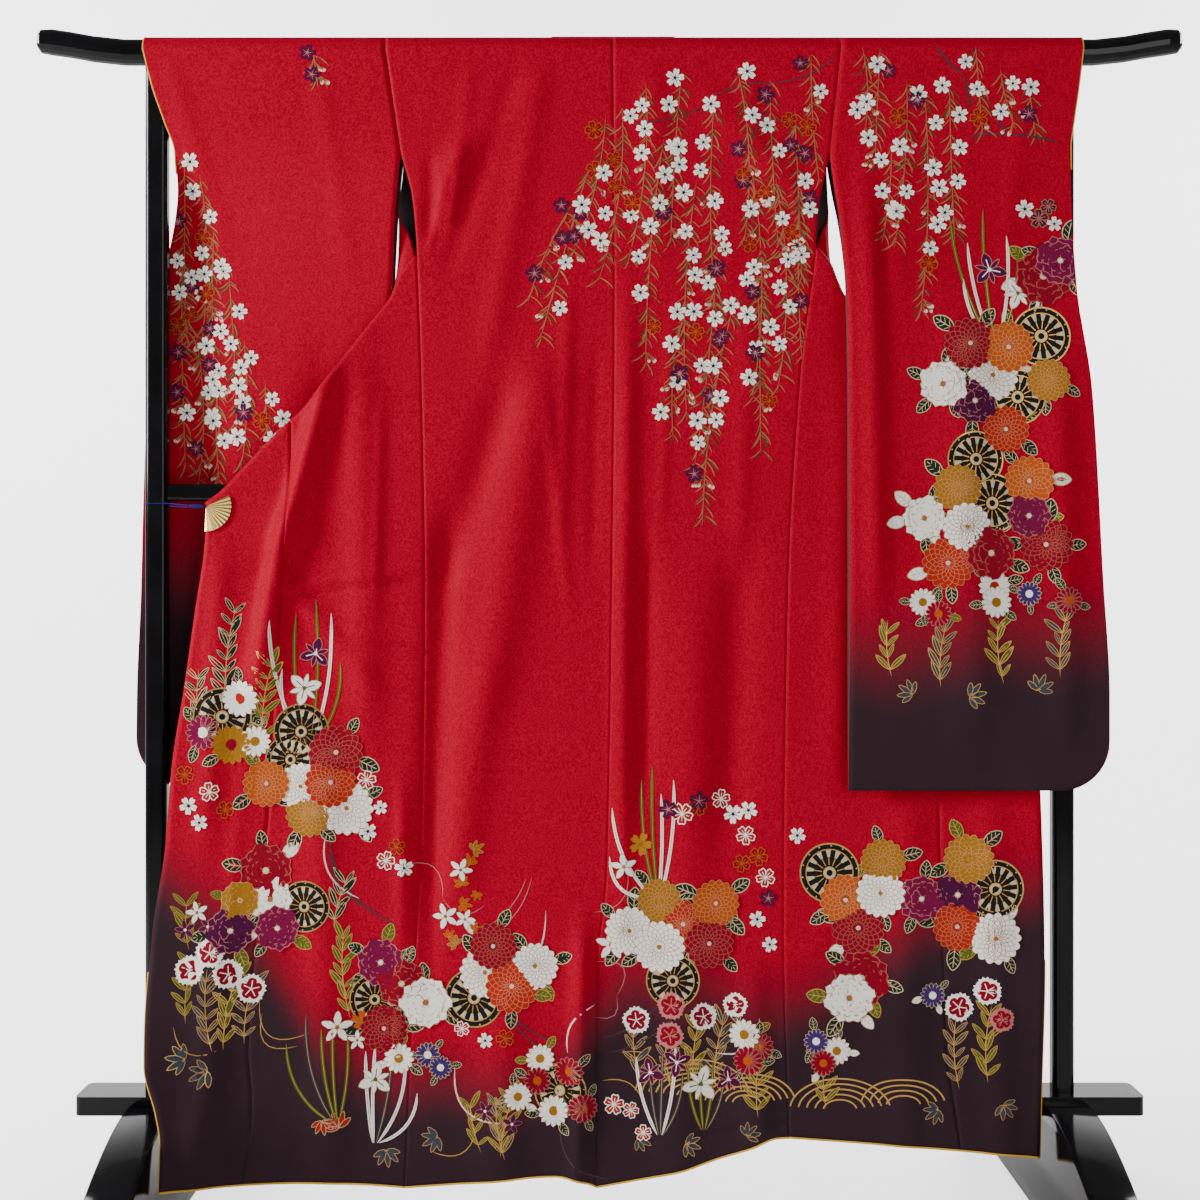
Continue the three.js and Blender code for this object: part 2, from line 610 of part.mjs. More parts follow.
// The stand
function topRail() {
  const geometry = new THREE.CylinderGeometry(1, 1, 2 * RAIL_HALF_LENGTH, 16, 28);
  const place = geometry.attributes.position;
  for (let i = 0; i < place.count; i += 1) {
    const share = place.getY(i) / RAIL_HALF_LENGTH;
    const x = RAIL_HALF_LENGTH * Math.sin((Math.PI / 2) * share);
    const past = Math.max(Math.abs(x) - RAIL_STRAIGHT, 0) / (RAIL_HALF_LENGTH - RAIL_STRAIGHT);
    const intoEnd = Math.max(Math.abs(x) - (RAIL_HALF_LENGTH - RAIL_END_ROUND), 0) / RAIL_END_ROUND;
    const size = mix(RAIL_END_SIZE, 1, Math.sqrt(1 - intoEnd ** 2));
    const rise = RAIL_END_RISE * smooth(past);
    const y = -RAIL_HALF_DEPTH * size * place.getX(i);
    place.setXYZ(i, x, y, RAIL_Z + rise + RAIL_HALF_HEIGHT * size * place.getZ(i));
  }
  return named("top_rail", geometry, LACQUER);
}

function roundedOutline(width, depth, radius) {
  const shape = new THREE.Shape();
  const w = width / 2 - radius;
  const d = depth / 2 - radius;
  shape.absarc(w, d, radius, 0, Math.PI / 2);
  shape.absarc(-w, d, radius, Math.PI / 2, Math.PI);
  shape.absarc(-w, -d, radius, Math.PI, 1.5 * Math.PI);
  shape.absarc(w, -d, radius, 1.5 * Math.PI, 2 * Math.PI);
  shape.closePath();
  return shape;
}

function extruded(outline, depth) {
  return new THREE.ExtrudeGeometry(outline, { depth, bevelEnabled: false, curveSegments: CORNER_STEPS });
}

function post(name, x) {
  const bottom = BOARD_TOP + FIT;
  const top = RAIL_Z - RAIL_HALF_HEIGHT - FIT;
  const outline = roundedOutline(POST_WIDTH, POST_DEPTH, 9);
  const geometry = extruded(outline, top - bottom);
  const mesh = named(name, geometry, LACQUER);
  mesh.position.set(x, 0, bottom);
  return mesh;
}

function midRail() {
  const length = 2 * POST_X - POST_WIDTH - 2 * FIT;
  const outline = roundedOutline(MID_RAIL_TOP - MID_RAIL_BOTTOM, MID_RAIL_DEPTH, 7);
  const geometry = extruded(outline, length);
  const mesh = named("mid_rail", geometry, LACQUER);
  mesh.rotation.y = Math.PI / 2;
  mesh.position.set(-length / 2, 0, (MID_RAIL_TOP + MID_RAIL_BOTTOM) / 2);
  return mesh;
}

function lowerBoard() {
  const outline = roundedOutline(2 * BOARD_HALF_LENGTH, 2 * BOARD_HALF_DEPTH, 10);
  const geometry = extruded(outline, BOARD_TOP - BOARD_BOTTOM);
  const mesh = named("lower_board", geometry, LACQUER);
  mesh.position.z = BOARD_BOTTOM;
  return mesh;
}

function runner(name, x) {
  const notch = BOARD_BOTTOM - FIT;
  const shape = new THREE.Shape();
  const half = BOARD_HALF_DEPTH + FIT;
  shape.moveTo(half, notch);
  shape.lineTo(half, RUNNER_TOP[0].z);
  const profile = new THREE.SplineCurve(RUNNER_TOP.map((row) => new THREE.Vector2(row.y, row.z)));
  const outer = profile.getPoints(18);
  outer.slice(1).forEach((point) => shape.lineTo(point.x, point.y));
  outer.reverse().forEach((point) => shape.lineTo(-point.x, point.y));
  shape.lineTo(-half, notch);
  shape.closePath();
  const geometry = extruded(shape, RUNNER_WIDTH);
  const mesh = named(name, geometry, LACQUER);
  mesh.rotation.set(Math.PI / 2, Math.PI / 2, 0);
  mesh.position.x = x - RUNNER_WIDTH / 2;
  return mesh;
}

// A folding-fan clip: a pleated leaf that opens from its hub and lies on the cloth
function fanClip(name, clip, sector) {
  const middle = (u, v) => {
    const angle = mix(sector.from, sector.to, u);
    const radius = mix(FAN_HUB, FAN_RADIUS, v);
    const pleat = FAN_PLEAT * v * (Math.round(u * 2 * FAN_RIBS) % 2 === 0 ? 1 : -1);
    const x = clip.x + radius * Math.cos(angle);
    const z = clip.z + radius * Math.sin(angle);
    return new THREE.Vector3(x, -hang(x, z) - WALL / 2 - FAN_LIFT + pleat, z);
  };
  const geometry = new THREE.BoxGeometry(1, 1, 1, 2 * FAN_RIBS, 2, 1);
  const place = geometry.attributes.position;
  for (let i = 0; i < place.count; i += 1) {
    const point = middle(place.getX(i) + 0.5, place.getY(i) + 0.5);
    place.setXYZ(i, point.x, point.y - place.getZ(i) * FAN_WALL, point.z);
  }
  return named(name, geometry, GOLD);
}

// The knot of a tie, which lies beside the hub of its clip
function knotPlace(clip) {
  const x = clip.x + Math.sign(clip.x) * (KNOT_LENGTH / 2 + TIE_CLEAR);
  return new THREE.Vector3(x, -hang(clip.x, clip.z) - WALL / 2 - FAN_LIFT - 1, clip.z);
}

function knot(name, clip) {
  const geometry = new THREE.SphereGeometry(0.5, 10, 6);
  geometry.scale(KNOT_LENGTH, KNOT_DEPTH, KNOT_HEIGHT);
  const mesh = named(name, geometry, BLUE_CORD);
  mesh.position.copy(knotPlace(clip));
  return mesh;
}

// A thin tie from the knot, round the post just under the mid rail, and back
function tie(name, clip) {
  const outward = Math.sign(clip.x);
  const side = POST_WIDTH / 2 + TIE_RADIUS + TIE_CLEAR;
  const deep = POST_DEPTH / 2 + TIE_RADIUS + TIE_CLEAR;
  const round = 7;
  const start = knotPlace(clip);
  start.x += (outward * KNOT_LENGTH) / 2;
  const route = [
    [start.x, start.y, start.z + 1.5],
    [outward * (POST_X - side), -deep - 2, TIE_Z],
    [outward * POST_X, -deep, TIE_Z],
    [outward * (POST_X + side - round), -deep, TIE_Z],
    [outward * (POST_X + side), -deep + round, TIE_Z],
    [outward * (POST_X + side), deep - round, TIE_Z],
    [outward * (POST_X + side - round), deep, TIE_Z],
    [outward * (POST_X - side + round), deep, TIE_Z],
    [outward * (POST_X - side - 1), deep - round, TIE_Z - 1],
    [outward * (POST_X - side - 2), -deep + round, TIE_Z - 3],
    [start.x, start.y, start.z - 1.5],
  ].map((point) => new THREE.Vector3(...point));
  const curve = new THREE.CatmullRomCurve3(route, false, "centripetal");
  const section = new THREE.Shape().absarc(0, 0, TIE_RADIUS, 0, 2 * Math.PI);
  const geometry = new THREE.ExtrudeGeometry(section, { extrudePath: curve, steps: 34, curveSegments: 4 });
  return named(name, geometry, BLUE_CORD);
}

const furisode = new THREE.Group();
furisode.add(
  topRail(),
  post("post_left", -POST_X),
  post("post_right", POST_X),
  midRail(),
  lowerBoard(),
  runner("runner_left", -POST_X),
  runner("runner_right", POST_X),
  backPanel("back_left", LEFT_SIDE, CENTRE_SEAM, LEFT_HEM),
  backPanel("back_right", CENTRE_SEAM, RIGHT_SIDE, RIGHT_HEM),
  frontPanel("front_left", LEFT_FRONT),
  frontPanel("front_right", RIGHT_FRONT),
  okumi("okumi_left", LEFT_FRONT),
  okumi("okumi_right", RIGHT_FRONT),
  collar(),
  sleeveHalf("sleeve_left_back", LEFT_SLEEVE, LEFT_SIDE, "back", LEFT_SLEEVE_FOLDS),
  sleeveHalf("sleeve_left_front", LEFT_SLEEVE, LEFT_SIDE, "front", LEFT_SLEEVE_FOLDS),
  sleeveHalf("sleeve_right_back", RIGHT_SLEEVE, RIGHT_SIDE, "back", RIGHT_SLEEVE_FOLDS),
  sleeveHalf("sleeve_right_front", RIGHT_SLEEVE, RIGHT_SIDE, "front", RIGHT_SLEEVE_FOLDS),
  fanClip("fan_left", LEFT_FRONT.clip, { from: 0.45, to: -1.62 }),
  fanClip("fan_right", RIGHT_FRONT.clip, { from: -1.52, to: -3.59 }),
  knot("knot_left", LEFT_FRONT.clip),
  knot("knot_right", RIGHT_FRONT.clip),
  tie("tie_left", LEFT_FRONT.clip),
  tie("tie_right", RIGHT_FRONT.clip),
);

export default furisode;
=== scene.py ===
"""A red furisode, hung with its back to the viewer over a lacquered kimono stand.

The pattern tables are in millimetres, as the cloth is cut, and MM turns a place into metres.
X is to the viewer's right, Y away from the viewer, Z up.
"""
import json
import math
import random
from functools import partial

import bmesh
import bpy
import numpy as np
from mathutils import Matrix, Vector
from mathutils.bvhtree import BVHTree


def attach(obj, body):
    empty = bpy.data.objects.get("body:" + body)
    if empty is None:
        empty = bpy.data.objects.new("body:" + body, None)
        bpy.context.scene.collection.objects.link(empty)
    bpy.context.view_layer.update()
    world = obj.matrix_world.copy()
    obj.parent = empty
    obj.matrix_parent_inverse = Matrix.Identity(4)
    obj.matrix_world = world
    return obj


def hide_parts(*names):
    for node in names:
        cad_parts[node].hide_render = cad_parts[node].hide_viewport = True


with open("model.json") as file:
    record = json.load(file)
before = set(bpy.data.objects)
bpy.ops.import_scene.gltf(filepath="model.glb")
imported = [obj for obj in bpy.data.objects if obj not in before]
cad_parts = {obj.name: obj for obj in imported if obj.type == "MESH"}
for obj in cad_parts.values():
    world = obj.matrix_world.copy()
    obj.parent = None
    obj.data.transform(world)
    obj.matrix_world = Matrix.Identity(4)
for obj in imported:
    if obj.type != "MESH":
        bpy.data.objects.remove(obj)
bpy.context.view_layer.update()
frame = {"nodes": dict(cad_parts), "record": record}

random.seed(11)
MM = 0.001

# The camera stands level before the middle of the garment
CAMERA_PLACE = (-0.014, -2.6, 0.899)
VIEW_WIDTH = 1.752
SENSOR = 36.0

# The cloth: walls, the rail that it goes over, and the rows that its panels are counted in.
# FULL_FOLDS and FULL_CREASES are how far below the rail these have their whole depth
SILK_WALL = 1.5
COLLAR_WALL = 2.4
COLLAR_LIFT = 1.7
RAIL_Z = 1698
WRAP_DEPTH = 19
WRAP_RISE = 21
WRAP_LENGTH = (math.pi / 2) * (WRAP_DEPTH + WRAP_RISE) / 2
ARMHOLE_Z = 1550
BACK_ROWS = 27
SHOWN_ROWS = 22
TURN_ROWS = 4
REAR_ROWS = 14
WRAP_ROWS = 3
OKUMI_REAR_ROWS = 10
OKUMI_TIP = 0.8
NECK_ROWS = 6
SLEEVE_ROWS = 20
TURN_RADIUS = 6
COLLAR_WIDTH = 55
NECK_LEFT = -85
NECK_RIGHT = 95
SLEEVE_BOTTOM = 627
SLEEVE_CORNER = 70
OUTWARD_CROWDING = 1.5
LEAN_POWER = 2.2
FULL_FOLDS = 160
FULL_CREASES = 60
FOLD_RUN_IN = 3

# Shares of its radius by which the top fold of an open front swells sideways and up
TURN_OUT = 0.6
TURN_UP = 0.8

# The collar's corner is the length over which it turns level at the shoulder
COLLAR_CORNER = 220
COLLAR_SEAM = 0.1

# Soft folds of the sleeves die out above their lower edge
SLEEVE_CALM = 600
SLEEVE_FULL_FOLDS = 200


def table(columns, *rows):
    """A table with named columns."""
    return {name: np.array([row[i] for row in rows], float)
            for i, name in enumerate(columns.split())}


# Seams of the back, a row for each height
CENTRE_SEAM = table("z x", (60, -20), (365, -18), (500, -4.5), (865, 2.5), (1350, 7), (RAIL_Z, 5))
LEFT_SIDE = table("z x", (60, -293), (310, -283), (582, -271), (912, -267), (1122, -270),
                  (1415, -280), (1482, -286), (ARMHOLE_Z, -303), (RAIL_Z, -325))
RIGHT_SIDE = table("z x", (130, 257), (415, 250), (899, 257), (1236, 277), (1400, 298),
                   (1462, 302), (ARMHOLE_Z, 319), (RAIL_Z, 335))
LEFT_HEM = table("x z", (-293, 60), (-190, 67), (-80, 75), (-35, 67), (-18, 60))
RIGHT_HEM = table("x z", (-20, 60), (37, 70), (98, 82), (157, 101), (197, 113), (237, 129),
                  (257, 130))

# How far before the middle of the stand the cloth hangs, and how the open fronts lean forward
HANG = table("z depth", (60, 52), (170, 47), (600, 35), (1055, 25), (1400, 21), (1550, 20),
             (RAIL_Z, 19))
LEFT_LEAN = table("z lean", (80, 114), (175, 93), (247, 70), (331, 47), (418, 26), (541, 14),
                  (774, 9), (1100, 9))
RIGHT_LEAN = table("z lean", (80, 14), (1100, 9))

# Soft folds: each runs from one end to the other, and rise is how far it comes forward
FOLD_COLUMNS = "x0 z0 x1 z1 width rise"
BODY_FOLDS = table(
    FOLD_COLUMNS,
    (-149, 1206, -236, 935, 26, -8),
    (-236, 1000, -262, 430, 22, -11),
    (-100, 1230, -176, 770, 38, 12),
    (-176, 800, -222, 480, 30, 9),
    (26, 1300, 18, 480, 16, 8),
    (50, 980, 44, 620, 20, -7),
    (190, 960, 172, 560, 28, -8),
    (120, 900, 110, 300, 34, 7),
    (-110, 1650, -255, 1500, 26, 5),
    (-215, 1560, -238, 1440, 14, 6),
    (-258, 1540, -262, 1430, 10, -4),
    (130, 1650, 270, 1490, 26, 5),
    (-40, 420, -46, 60, 14, 12),
    (-150, 330, -160, 60, 34, 9),
    (100, 330, 96, 80, 30, 8),
    (205, 360, 215, 110, 22, 8),
    (-398, 1250, -468, 990, 24, 14),
    (-468, 1010, -510, 760, 22, 13),
    (-360, 1260, -350, 700, 26, 7),
    (-420, 700, -400, 90, 30, 8),
    (-560, 960, -580, 560, 18, 6),
    (-560, 420, -575, 85, 22, 9),
    (350, 1240, 330, 700, 22, 6),
    (430, 640, 420, 120, 30, 7),
    (545, 620, 560, 110, 24, 7),
)
# Storage creases and small puckers, finer than the folds
BODY_CREASES = table(
    FOLD_COLUMNS,
    (-278, 1404, 298, 1402, 3.0, -1.6),
    (-278, 1410, 298, 1408, 3.4, 1.1),
    (-492, 900, -278, 929, 6.5, -2.8),
    (-492, 912, -278, 941, 7.5, 2.6),
    (-400, 850, -262, 826, 4.0, -2.2),
    (-215, 652, -54, 650, 3.6, -1.8),
    (-335, 614, -275, 612, 3.6, -1.8),
    (110, 622, 250, 640, 4.0, -1.8),
    (-404, 1230, -470, 985, 11, 4.5),
    (-476, 1000, -506, 770, 12, 5.0),
    (-440, 1180, -512, 900, 14, -4.0),
    (-470, 930, -340, 770, 16, 3.6),
    (-300, 640, -290, 330, 10, 2.6),
    (-250, 640, -256, 300, 12, -2.8),
    (-96, 1685, -178, 1240, 20, 4.2),
    (-136, 1670, -232, 1380, 15, -3.2),
    (-60, 1340, -68, 1000, 12, 3.2),
    (-20, 1250, -24, 960, 10, -2.4),
    (60, 1690, 74, 1380, 22, 3.0),
    (200, 1320, 186, 960, 16, 3.2),
    (102, 125, 275, 150, 5.0, -2.4),
    (-240, 1500, -262, 1402, 4.0, 2.2),
    (-226, 1520, -240, 1432, 3.2, -1.8),
    (262, 1500, 280, 1410, 4.0, 1.8),
    (-90, 1180, -60, 900, 9.0, 2.2),
    (88, 1300, 74, 1010, 9.0, 2.0),
    (-200, 1700, -214, 1560, 12.0, 2.0),
    (190, 1700, 214, 1570, 12.0, 2.0),
    (-330, 1180, -338, 900, 8.0, 2.2),
    (-300, 600, -306, 240, 9.0, 2.4),
    (-520, 700, -548, 430, 9.0, 2.2),
)
LEFT_SLEEVE_FOLDS = table(
    FOLD_COLUMNS,
    (-420, 1250, -400, 640, 30, -6),
    (-590, 1150, -610, 640, 30, -7),
)
RIGHT_SLEEVE_FOLDS = table(
    FOLD_COLUMNS,
    (372, 1480, 378, 900, 14, 9),
    (500, 1300, 520, 640, 34, 8),
    (640, 1200, 650, 660, 26, 8),
)
SLEEVE_CREASES = table(
    FOLD_COLUMNS,
    (-640, 1690, -560, 1400, 16, 1.6),
    (-420, 1660, -380, 1380, 14, 1.6),
    (430, 1660, 410, 1340, 14, 2.0),
    (610, 1690, 560, 1330, 16, 2.0),
    (360, 1500, 352, 1250, 7, 1.6),
)

# The open fronts: the front edge that shows, the top fold's sag, and the part that goes up behind
LEFT_EDGE = table("z x", (80, -618), (150, -620), (185, -628), (247, -650), (331, -654),
                  (418, -652), (541, -637), (659, -629), (774, -612), (882, -597), (985, -583),
                  (1034, -581))
RIGHT_EDGE = table("z x", (100, 612), (180, 615), (400, 622), (700, 615), (1034, 586))
REAR_COLUMNS = "t x_side z_side y_side x_front z_front y_front"
LEFT_REAR = table(
    REAR_COLUMNS,
    (0, -279, 1395, -9, -581, 1034, -22),
    (0.25, -292, 1432, -4, -400, 1090, -17),
    (0.45, -308, 1468, 4, -290, 1200, -6),
    (0.6, -303, 1550, 22, -200, 1340, 7),
    (0.8, -316, 1630, 20, -125, 1540, 15),
    (1, -325, RAIL_Z, 19, NECK_LEFT, RAIL_Z, 19),
)
RIGHT_REAR = table(
    REAR_COLUMNS,
    (0, 298, 1407, -9, 586, 1034, -22),
    (0.25, 309, 1436, -4, 410, 1090, -17),
    (0.45, 320, 1468, 8, 300, 1200, -6),
    (0.6, 319, 1550, 20, 210, 1340, 7),
    (0.8, 328, 1630, 19.5, 135, 1540, 15),
    (1, 335, RAIL_Z, 19, NECK_RIGHT, RAIL_Z, 19),
)
FOLD_BOW = table("u dz", (0, 0), (0.06, 0), (0.1, -13), (0.13, -21), (0.22, -22), (0.36, -28),
                 (0.5, -33), (0.64, -22), (0.78, -16), (0.91, -11), (1, 0))
OKUMI_SEAM = table("v u", (0, 0.69), (0.15, 0.63), (0.5, 0.6), (1, 0.6))
LEFT_FRONT = {"side": LEFT_SIDE, "edge": LEFT_EDGE, "rear": LEFT_REAR, "outward": -1,
              "hem_side": 60, "hem_corner": 88, "clip": (-581, 1034)}
RIGHT_FRONT = {"side": RIGHT_SIDE, "edge": RIGHT_EDGE, "rear": RIGHT_REAR, "outward": 1,
               "hem_side": 130, "hem_corner": 106, "clip": (586, 1034)}

# The sleeves: inner and outer edge, and where the halves before and behind hang there
SLEEVE_COLUMNS = "z x_in x_out rear_out back_in back_out front_in front_out"
LEFT_SLEEVE = table(
    SLEEVE_COLUMNS,
    (600, -322, -697, -697, 23, 23, 25.3, 25.3),
    (627, -322, -697, -697, 23, 23, 25.3, 25.3),
    (760, -322, -696, -696, 23, 23, 38, 25.3),
    (900, -322, -690, -690, 21, 22, 42, 24.3),
    (1068, -321, -685, -685, 16, 20, 42, 22.3),
    (1300, -319, -674, -674, -1, 20, 36, 22.3),
    (1380, -316, -655, -655, -6, 20, 32, 22.3),
    (1465, -311, -637, -637, -13, 17, 27, 19.3),
    (1510, -307, -632, -632, -17, 6, 24, 20),
    (1550, -303, -632, -632, -20, -8, 22, 21),
    (1594, -310, -645, -645, -19.7, -18.5, 21, 21),
    (1640, -318, -661, -661, -19.3, -19.2, 20, 20),
    (RAIL_Z, -325, -676, -676, -19, -19, 19, 19),
)
RIGHT_SLEEVE = table(
    SLEEVE_COLUMNS,
    (600, 340, 713, 713, -61, -60, -58.7, -57.7),
    (630, 340, 713, 713, -61, -60, -58.7, -57.7),
    (760, 340, 713, 713, -72, -60, -55, -57.7),
    (930, 340, 704, 704, -74, -59, -54, -56.7),
    (1200, 340, 689, 689, -64, -56, -50, -53.7),
    (1350, 338, 669, 669, -53, -48, -42, -45.7),
    (1400, 335, 667, 667, -43, -41, -32, -38.7),
    (1450, 331, 666, 666, -33, -34, -10, -31.7),
    (1500, 324, 666, 641, -24, -29, 9, -21),
    (1550, 319, 666, 640, -20, -25, 20, -7),
    (1594, 325, 672, 640, -19.7, -21, 19.8, 9),
    (1640, 330, 679, 640, -19.3, -19.5, 19.4, 19),
    (RAIL_Z, 335, 686, 684, -19, -19, 19, 19),
)

# Where the dark dye of the hems begins
BODY_DYE = table("x z", (-671, 549), (-598, 490), (-525, 424), (-408, 286), (-277, 213),
                 (-160, 205), (-72, 242), (15, 337), (132, 351), (249, 315), (400, 420),
                 (620, 500))
SLEEVE_DYE = table("x z", (-700, 965), (-320, 930), (330, 840), (713, 880))


def read(rows, key, column, at):
    """The value of a column between a table's rows, on a smooth curve that never overshoots."""
    xs, ys = rows[key], rows[column]
    at = np.clip(np.asarray(at, float), xs[0], xs[-1])
    span, chord = np.diff(xs), np.diff(ys) / np.diff(xs)
    slope = np.concatenate([chord[:1], np.zeros(len(xs) - 2), chord[-1:]])
    same = chord[:-1] * chord[1:] > 0
    safe = np.where(same, chord[:-1] + chord[1:], 1)
    slope[1:-1] = np.where(same, 2 * chord[:-1] * chord[1:] / safe, 0)
    i = np.clip(np.searchsorted(xs, at, side="right") - 1, 0, len(xs) - 2)
    s = (at - xs[i]) / span[i]
    start = (1 + 2 * s) * (1 - s) ** 2 * ys[i] + s * (1 - s) ** 2 * span[i] * slope[i]
    return start + s ** 2 * (3 - 2 * s) * ys[i + 1] + s ** 2 * (s - 1) * span[i] * slope[i + 1]


def mix(a, b, t):
    return a + (b - a) * t


def smooth(t):
    s = np.clip(t, 0, 1)
    return s * s * (3 - 2 * s)


def folds(rows, x, z):
    """How far the soft folds of a table lift the cloth at a place."""
    lift = 0
    for x0, z0, x1, z1, width, rise in zip(*(rows[name] for name in FOLD_COLUMNS.split())):
        length = math.hypot(x1 - x0, z1 - z0)
        s = ((x - x0) * (x1 - x0) + (z - z0) * (z1 - z0)) / length ** 2
        off = ((x - x0) * (z1 - z0) - (z - z0) * (x1 - x0)) / length
        lift = lift + (rise * smooth(s * FOLD_RUN_IN + 0.5) * smooth((1 - s) * FOLD_RUN_IN + 0.5)
                       * np.exp(-((off / width) ** 2)))
    return lift


def side_x(side, z):
    """A side seam of the back, which goes on as a straight armhole up to the shoulder."""
    up = np.clip((z - ARMHOLE_Z) / (RAIL_Z - ARMHOLE_Z), 0, 1)
    armhole = mix(side["x"][-2], side["x"][-1], up)
    return np.where(z > ARMHOLE_Z, armhole, read(side, "z", "x", z))


def hang(x, z):
    """Depth of the back and of the open fronts before the middle of the stand."""
    calm = smooth((RAIL_Z - z) / FULL_FOLDS)
    depth = read(HANG, "z", "depth", z) + calm * folds(BODY_FOLDS, x, z)
    for front, lean in ((LEFT_FRONT, LEFT_LEAN), (RIGHT_FRONT, RIGHT_LEAN)):
        seam = side_x(front["side"], z)
        edge = read(front["edge"], "z", "x", z)
        across = np.maximum((x - seam) / (edge - seam), 0)
        depth = depth + read(lean, "z", "lean", z) * across ** LEAN_POWER
    return depth


def hang_fine(x, z):
    """The same with the fine creases."""
    return hang(x, z) + smooth((RAIL_Z - z) / FULL_CREASES) * folds(BODY_CREASES, x, z)


def over_rail(x, drop, lift=0.0):
    """A place before the rail, drop being the way down from the top of the rail."""
    angle = (math.pi / 2) * (1 - drop / WRAP_LENGTH)
    return x, -(WRAP_DEPTH + lift) * np.cos(angle), RAIL_Z + (WRAP_RISE + lift) * np.sin(angle)


def behind_rail(x, drop, y, lift=0.0):
    """A place behind the rail, first round it and then straight down at depth y."""
    _, arc_y, arc_z = over_rail(x, np.minimum(drop, WRAP_LENGTH), lift)
    low = drop >= WRAP_LENGTH
    return x, np.where(low, y + lift, -arc_y), np.where(low, RAIL_Z - (drop - WRAP_LENGTH), arc_z)


def choose(test, yes, no):
    """One place or the other, coordinate by coordinate."""
    return tuple(np.where(test, a, b) for a, b in zip(yes, no))


def back_panel(left_edge, right_edge, hem):
    """Half of the back, from its hem up over the rail."""
    rows = BACK_ROWS + WRAP_ROWS
    hung = BACK_ROWS / rows

    def edge_x(edge, z):
        return read(edge, "z", "x", z) if edge is CENTRE_SEAM else side_x(edge, z)

    def middle(u, v):
        def across(z):
            return mix(edge_x(left_edge, z), edge_x(right_edge, z), u)

        drop = WRAP_LENGTH * (1 - (v - hung) / (1 - hung))
        z = mix(read(hem, "x", "z", across(hem["z"][0])), RAIL_Z, np.minimum(v / hung, 1))
        x = across(z)
        over = over_rail(across(np.full_like(u, RAIL_Z)), drop)
        return choose(v > hung, over, (x, -hang_fine(x, z), z))

    return middle


FRONT_ROWS = SHOWN_ROWS + TURN_ROWS + REAR_ROWS + WRAP_ROWS
SHOWN_END = SHOWN_ROWS / FRONT_ROWS
TURN_END = (SHOWN_ROWS + TURN_ROWS) / FRONT_ROWS
REAR_END = (SHOWN_ROWS + TURN_ROWS + REAR_ROWS) / FRONT_ROWS


def shown_point(front, u, t):
    """The part of an open front that shows, from its hem to its top fold."""
    z_side = mix(front["hem_side"], RAIL_Z, t * SHOWN_ROWS / BACK_ROWS)
    z_edge = mix(front["hem_corner"], front["clip"][1], t)
    x = mix(side_x(front["side"], z_side), read(front["edge"], "z", "x", z_edge), u)
    z = mix(z_side, z_edge, u) + t * t * read(FOLD_BOW, "u", "dz", u)
    return x, -hang_fine(x, z), z


def front_point(front, u, v):
    """Up the part that shows, round its top fold, and up behind to the shoulder."""
    u, v = np.broadcast_arrays(np.asarray(u, float), np.asarray(v, float))
    outward, rear = front["outward"], front["rear"]
    shown = shown_point(front, u, np.minimum(v / SHOWN_END, 1))
    top = shown_point(front, u, np.ones_like(v))
    angle = math.pi * np.clip((v - SHOWN_END) / (TURN_END - SHOWN_END), 0, 1)
    turn = (top[0] + outward * TURN_RADIUS * TURN_OUT * np.sin(angle),
            top[1] + TURN_RADIUS * (1 - np.cos(angle)),
            top[2] + TURN_RADIUS * TURN_UP * np.sin(angle))
    t = np.clip((v - TURN_END) / (REAR_END - TURN_END), 0, 1)
    z_side = read(rear, "t", "z_side", t)
    x_side = np.where(z_side >= ARMHOLE_Z, side_x(front["side"], z_side),
                      read(rear, "t", "x_side", t))
    x = mix(x_side, read(rear, "t", "x_front", t), u)
    y = mix(read(rear, "t", "y_side", t), read(rear, "t", "y_front", t), u)
    z = mix(z_side, read(rear, "t", "z_front", t), u)
    start = [mix(rear[a + "_side"][0], rear[a + "_front"][0], u) for a in "xyz"]
    from_top = (1 - t) ** 2
    behind = (x + from_top * (top[0] - start[0]),
              y + from_top * (top[1] + 2 * TURN_RADIUS - start[1]),
              z + from_top * (top[2] - start[2]))
    drop = WRAP_LENGTH * (1 - np.clip((v - REAR_END) / (1 - REAR_END), 0, 1))
    place = choose(v > TURN_END, behind, choose(v > SHOWN_END, turn, shown))
    return choose(v > REAR_END, behind_rail(x, drop, y), place)


def okumi_seam(v):
    """The seam between a front and its okumi, which narrows to a tip below the neck."""
    t = np.maximum((v - TURN_END) / (REAR_END - TURN_END), 0)
    return np.where(v <= SHOWN_END, read(OKUMI_SEAM, "v", "u", v / SHOWN_END),
                    mix(OKUMI_SEAM["u"][-1], 1, smooth(t / OKUMI_TIP)))


def front_panel(front):
    """An open front from its side seam to the okumi's seam."""
    def middle(u, v):
        q = u if front["outward"] > 0 else 1 - u
        return front_point(front, mix(0, okumi_seam(v), q), v)

    return middle


def okumi(front):
    """The overlap panel between a front and its edge, up to its tip below the neck."""
    rows = SHOWN_ROWS + TURN_ROWS + OKUMI_REAR_ROWS

    def middle(u, v):
        way = v * rows / FRONT_ROWS
        q = u if front["outward"] > 0 else 1 - u
        return front_point(front, mix(okumi_seam(way), 1, q), way)

    return middle


COLLAR_CLIMB_ROWS = REAR_ROWS + WRAP_ROWS
COLLAR_ROWS = 2 * COLLAR_CLIMB_ROWS + NECK_ROWS


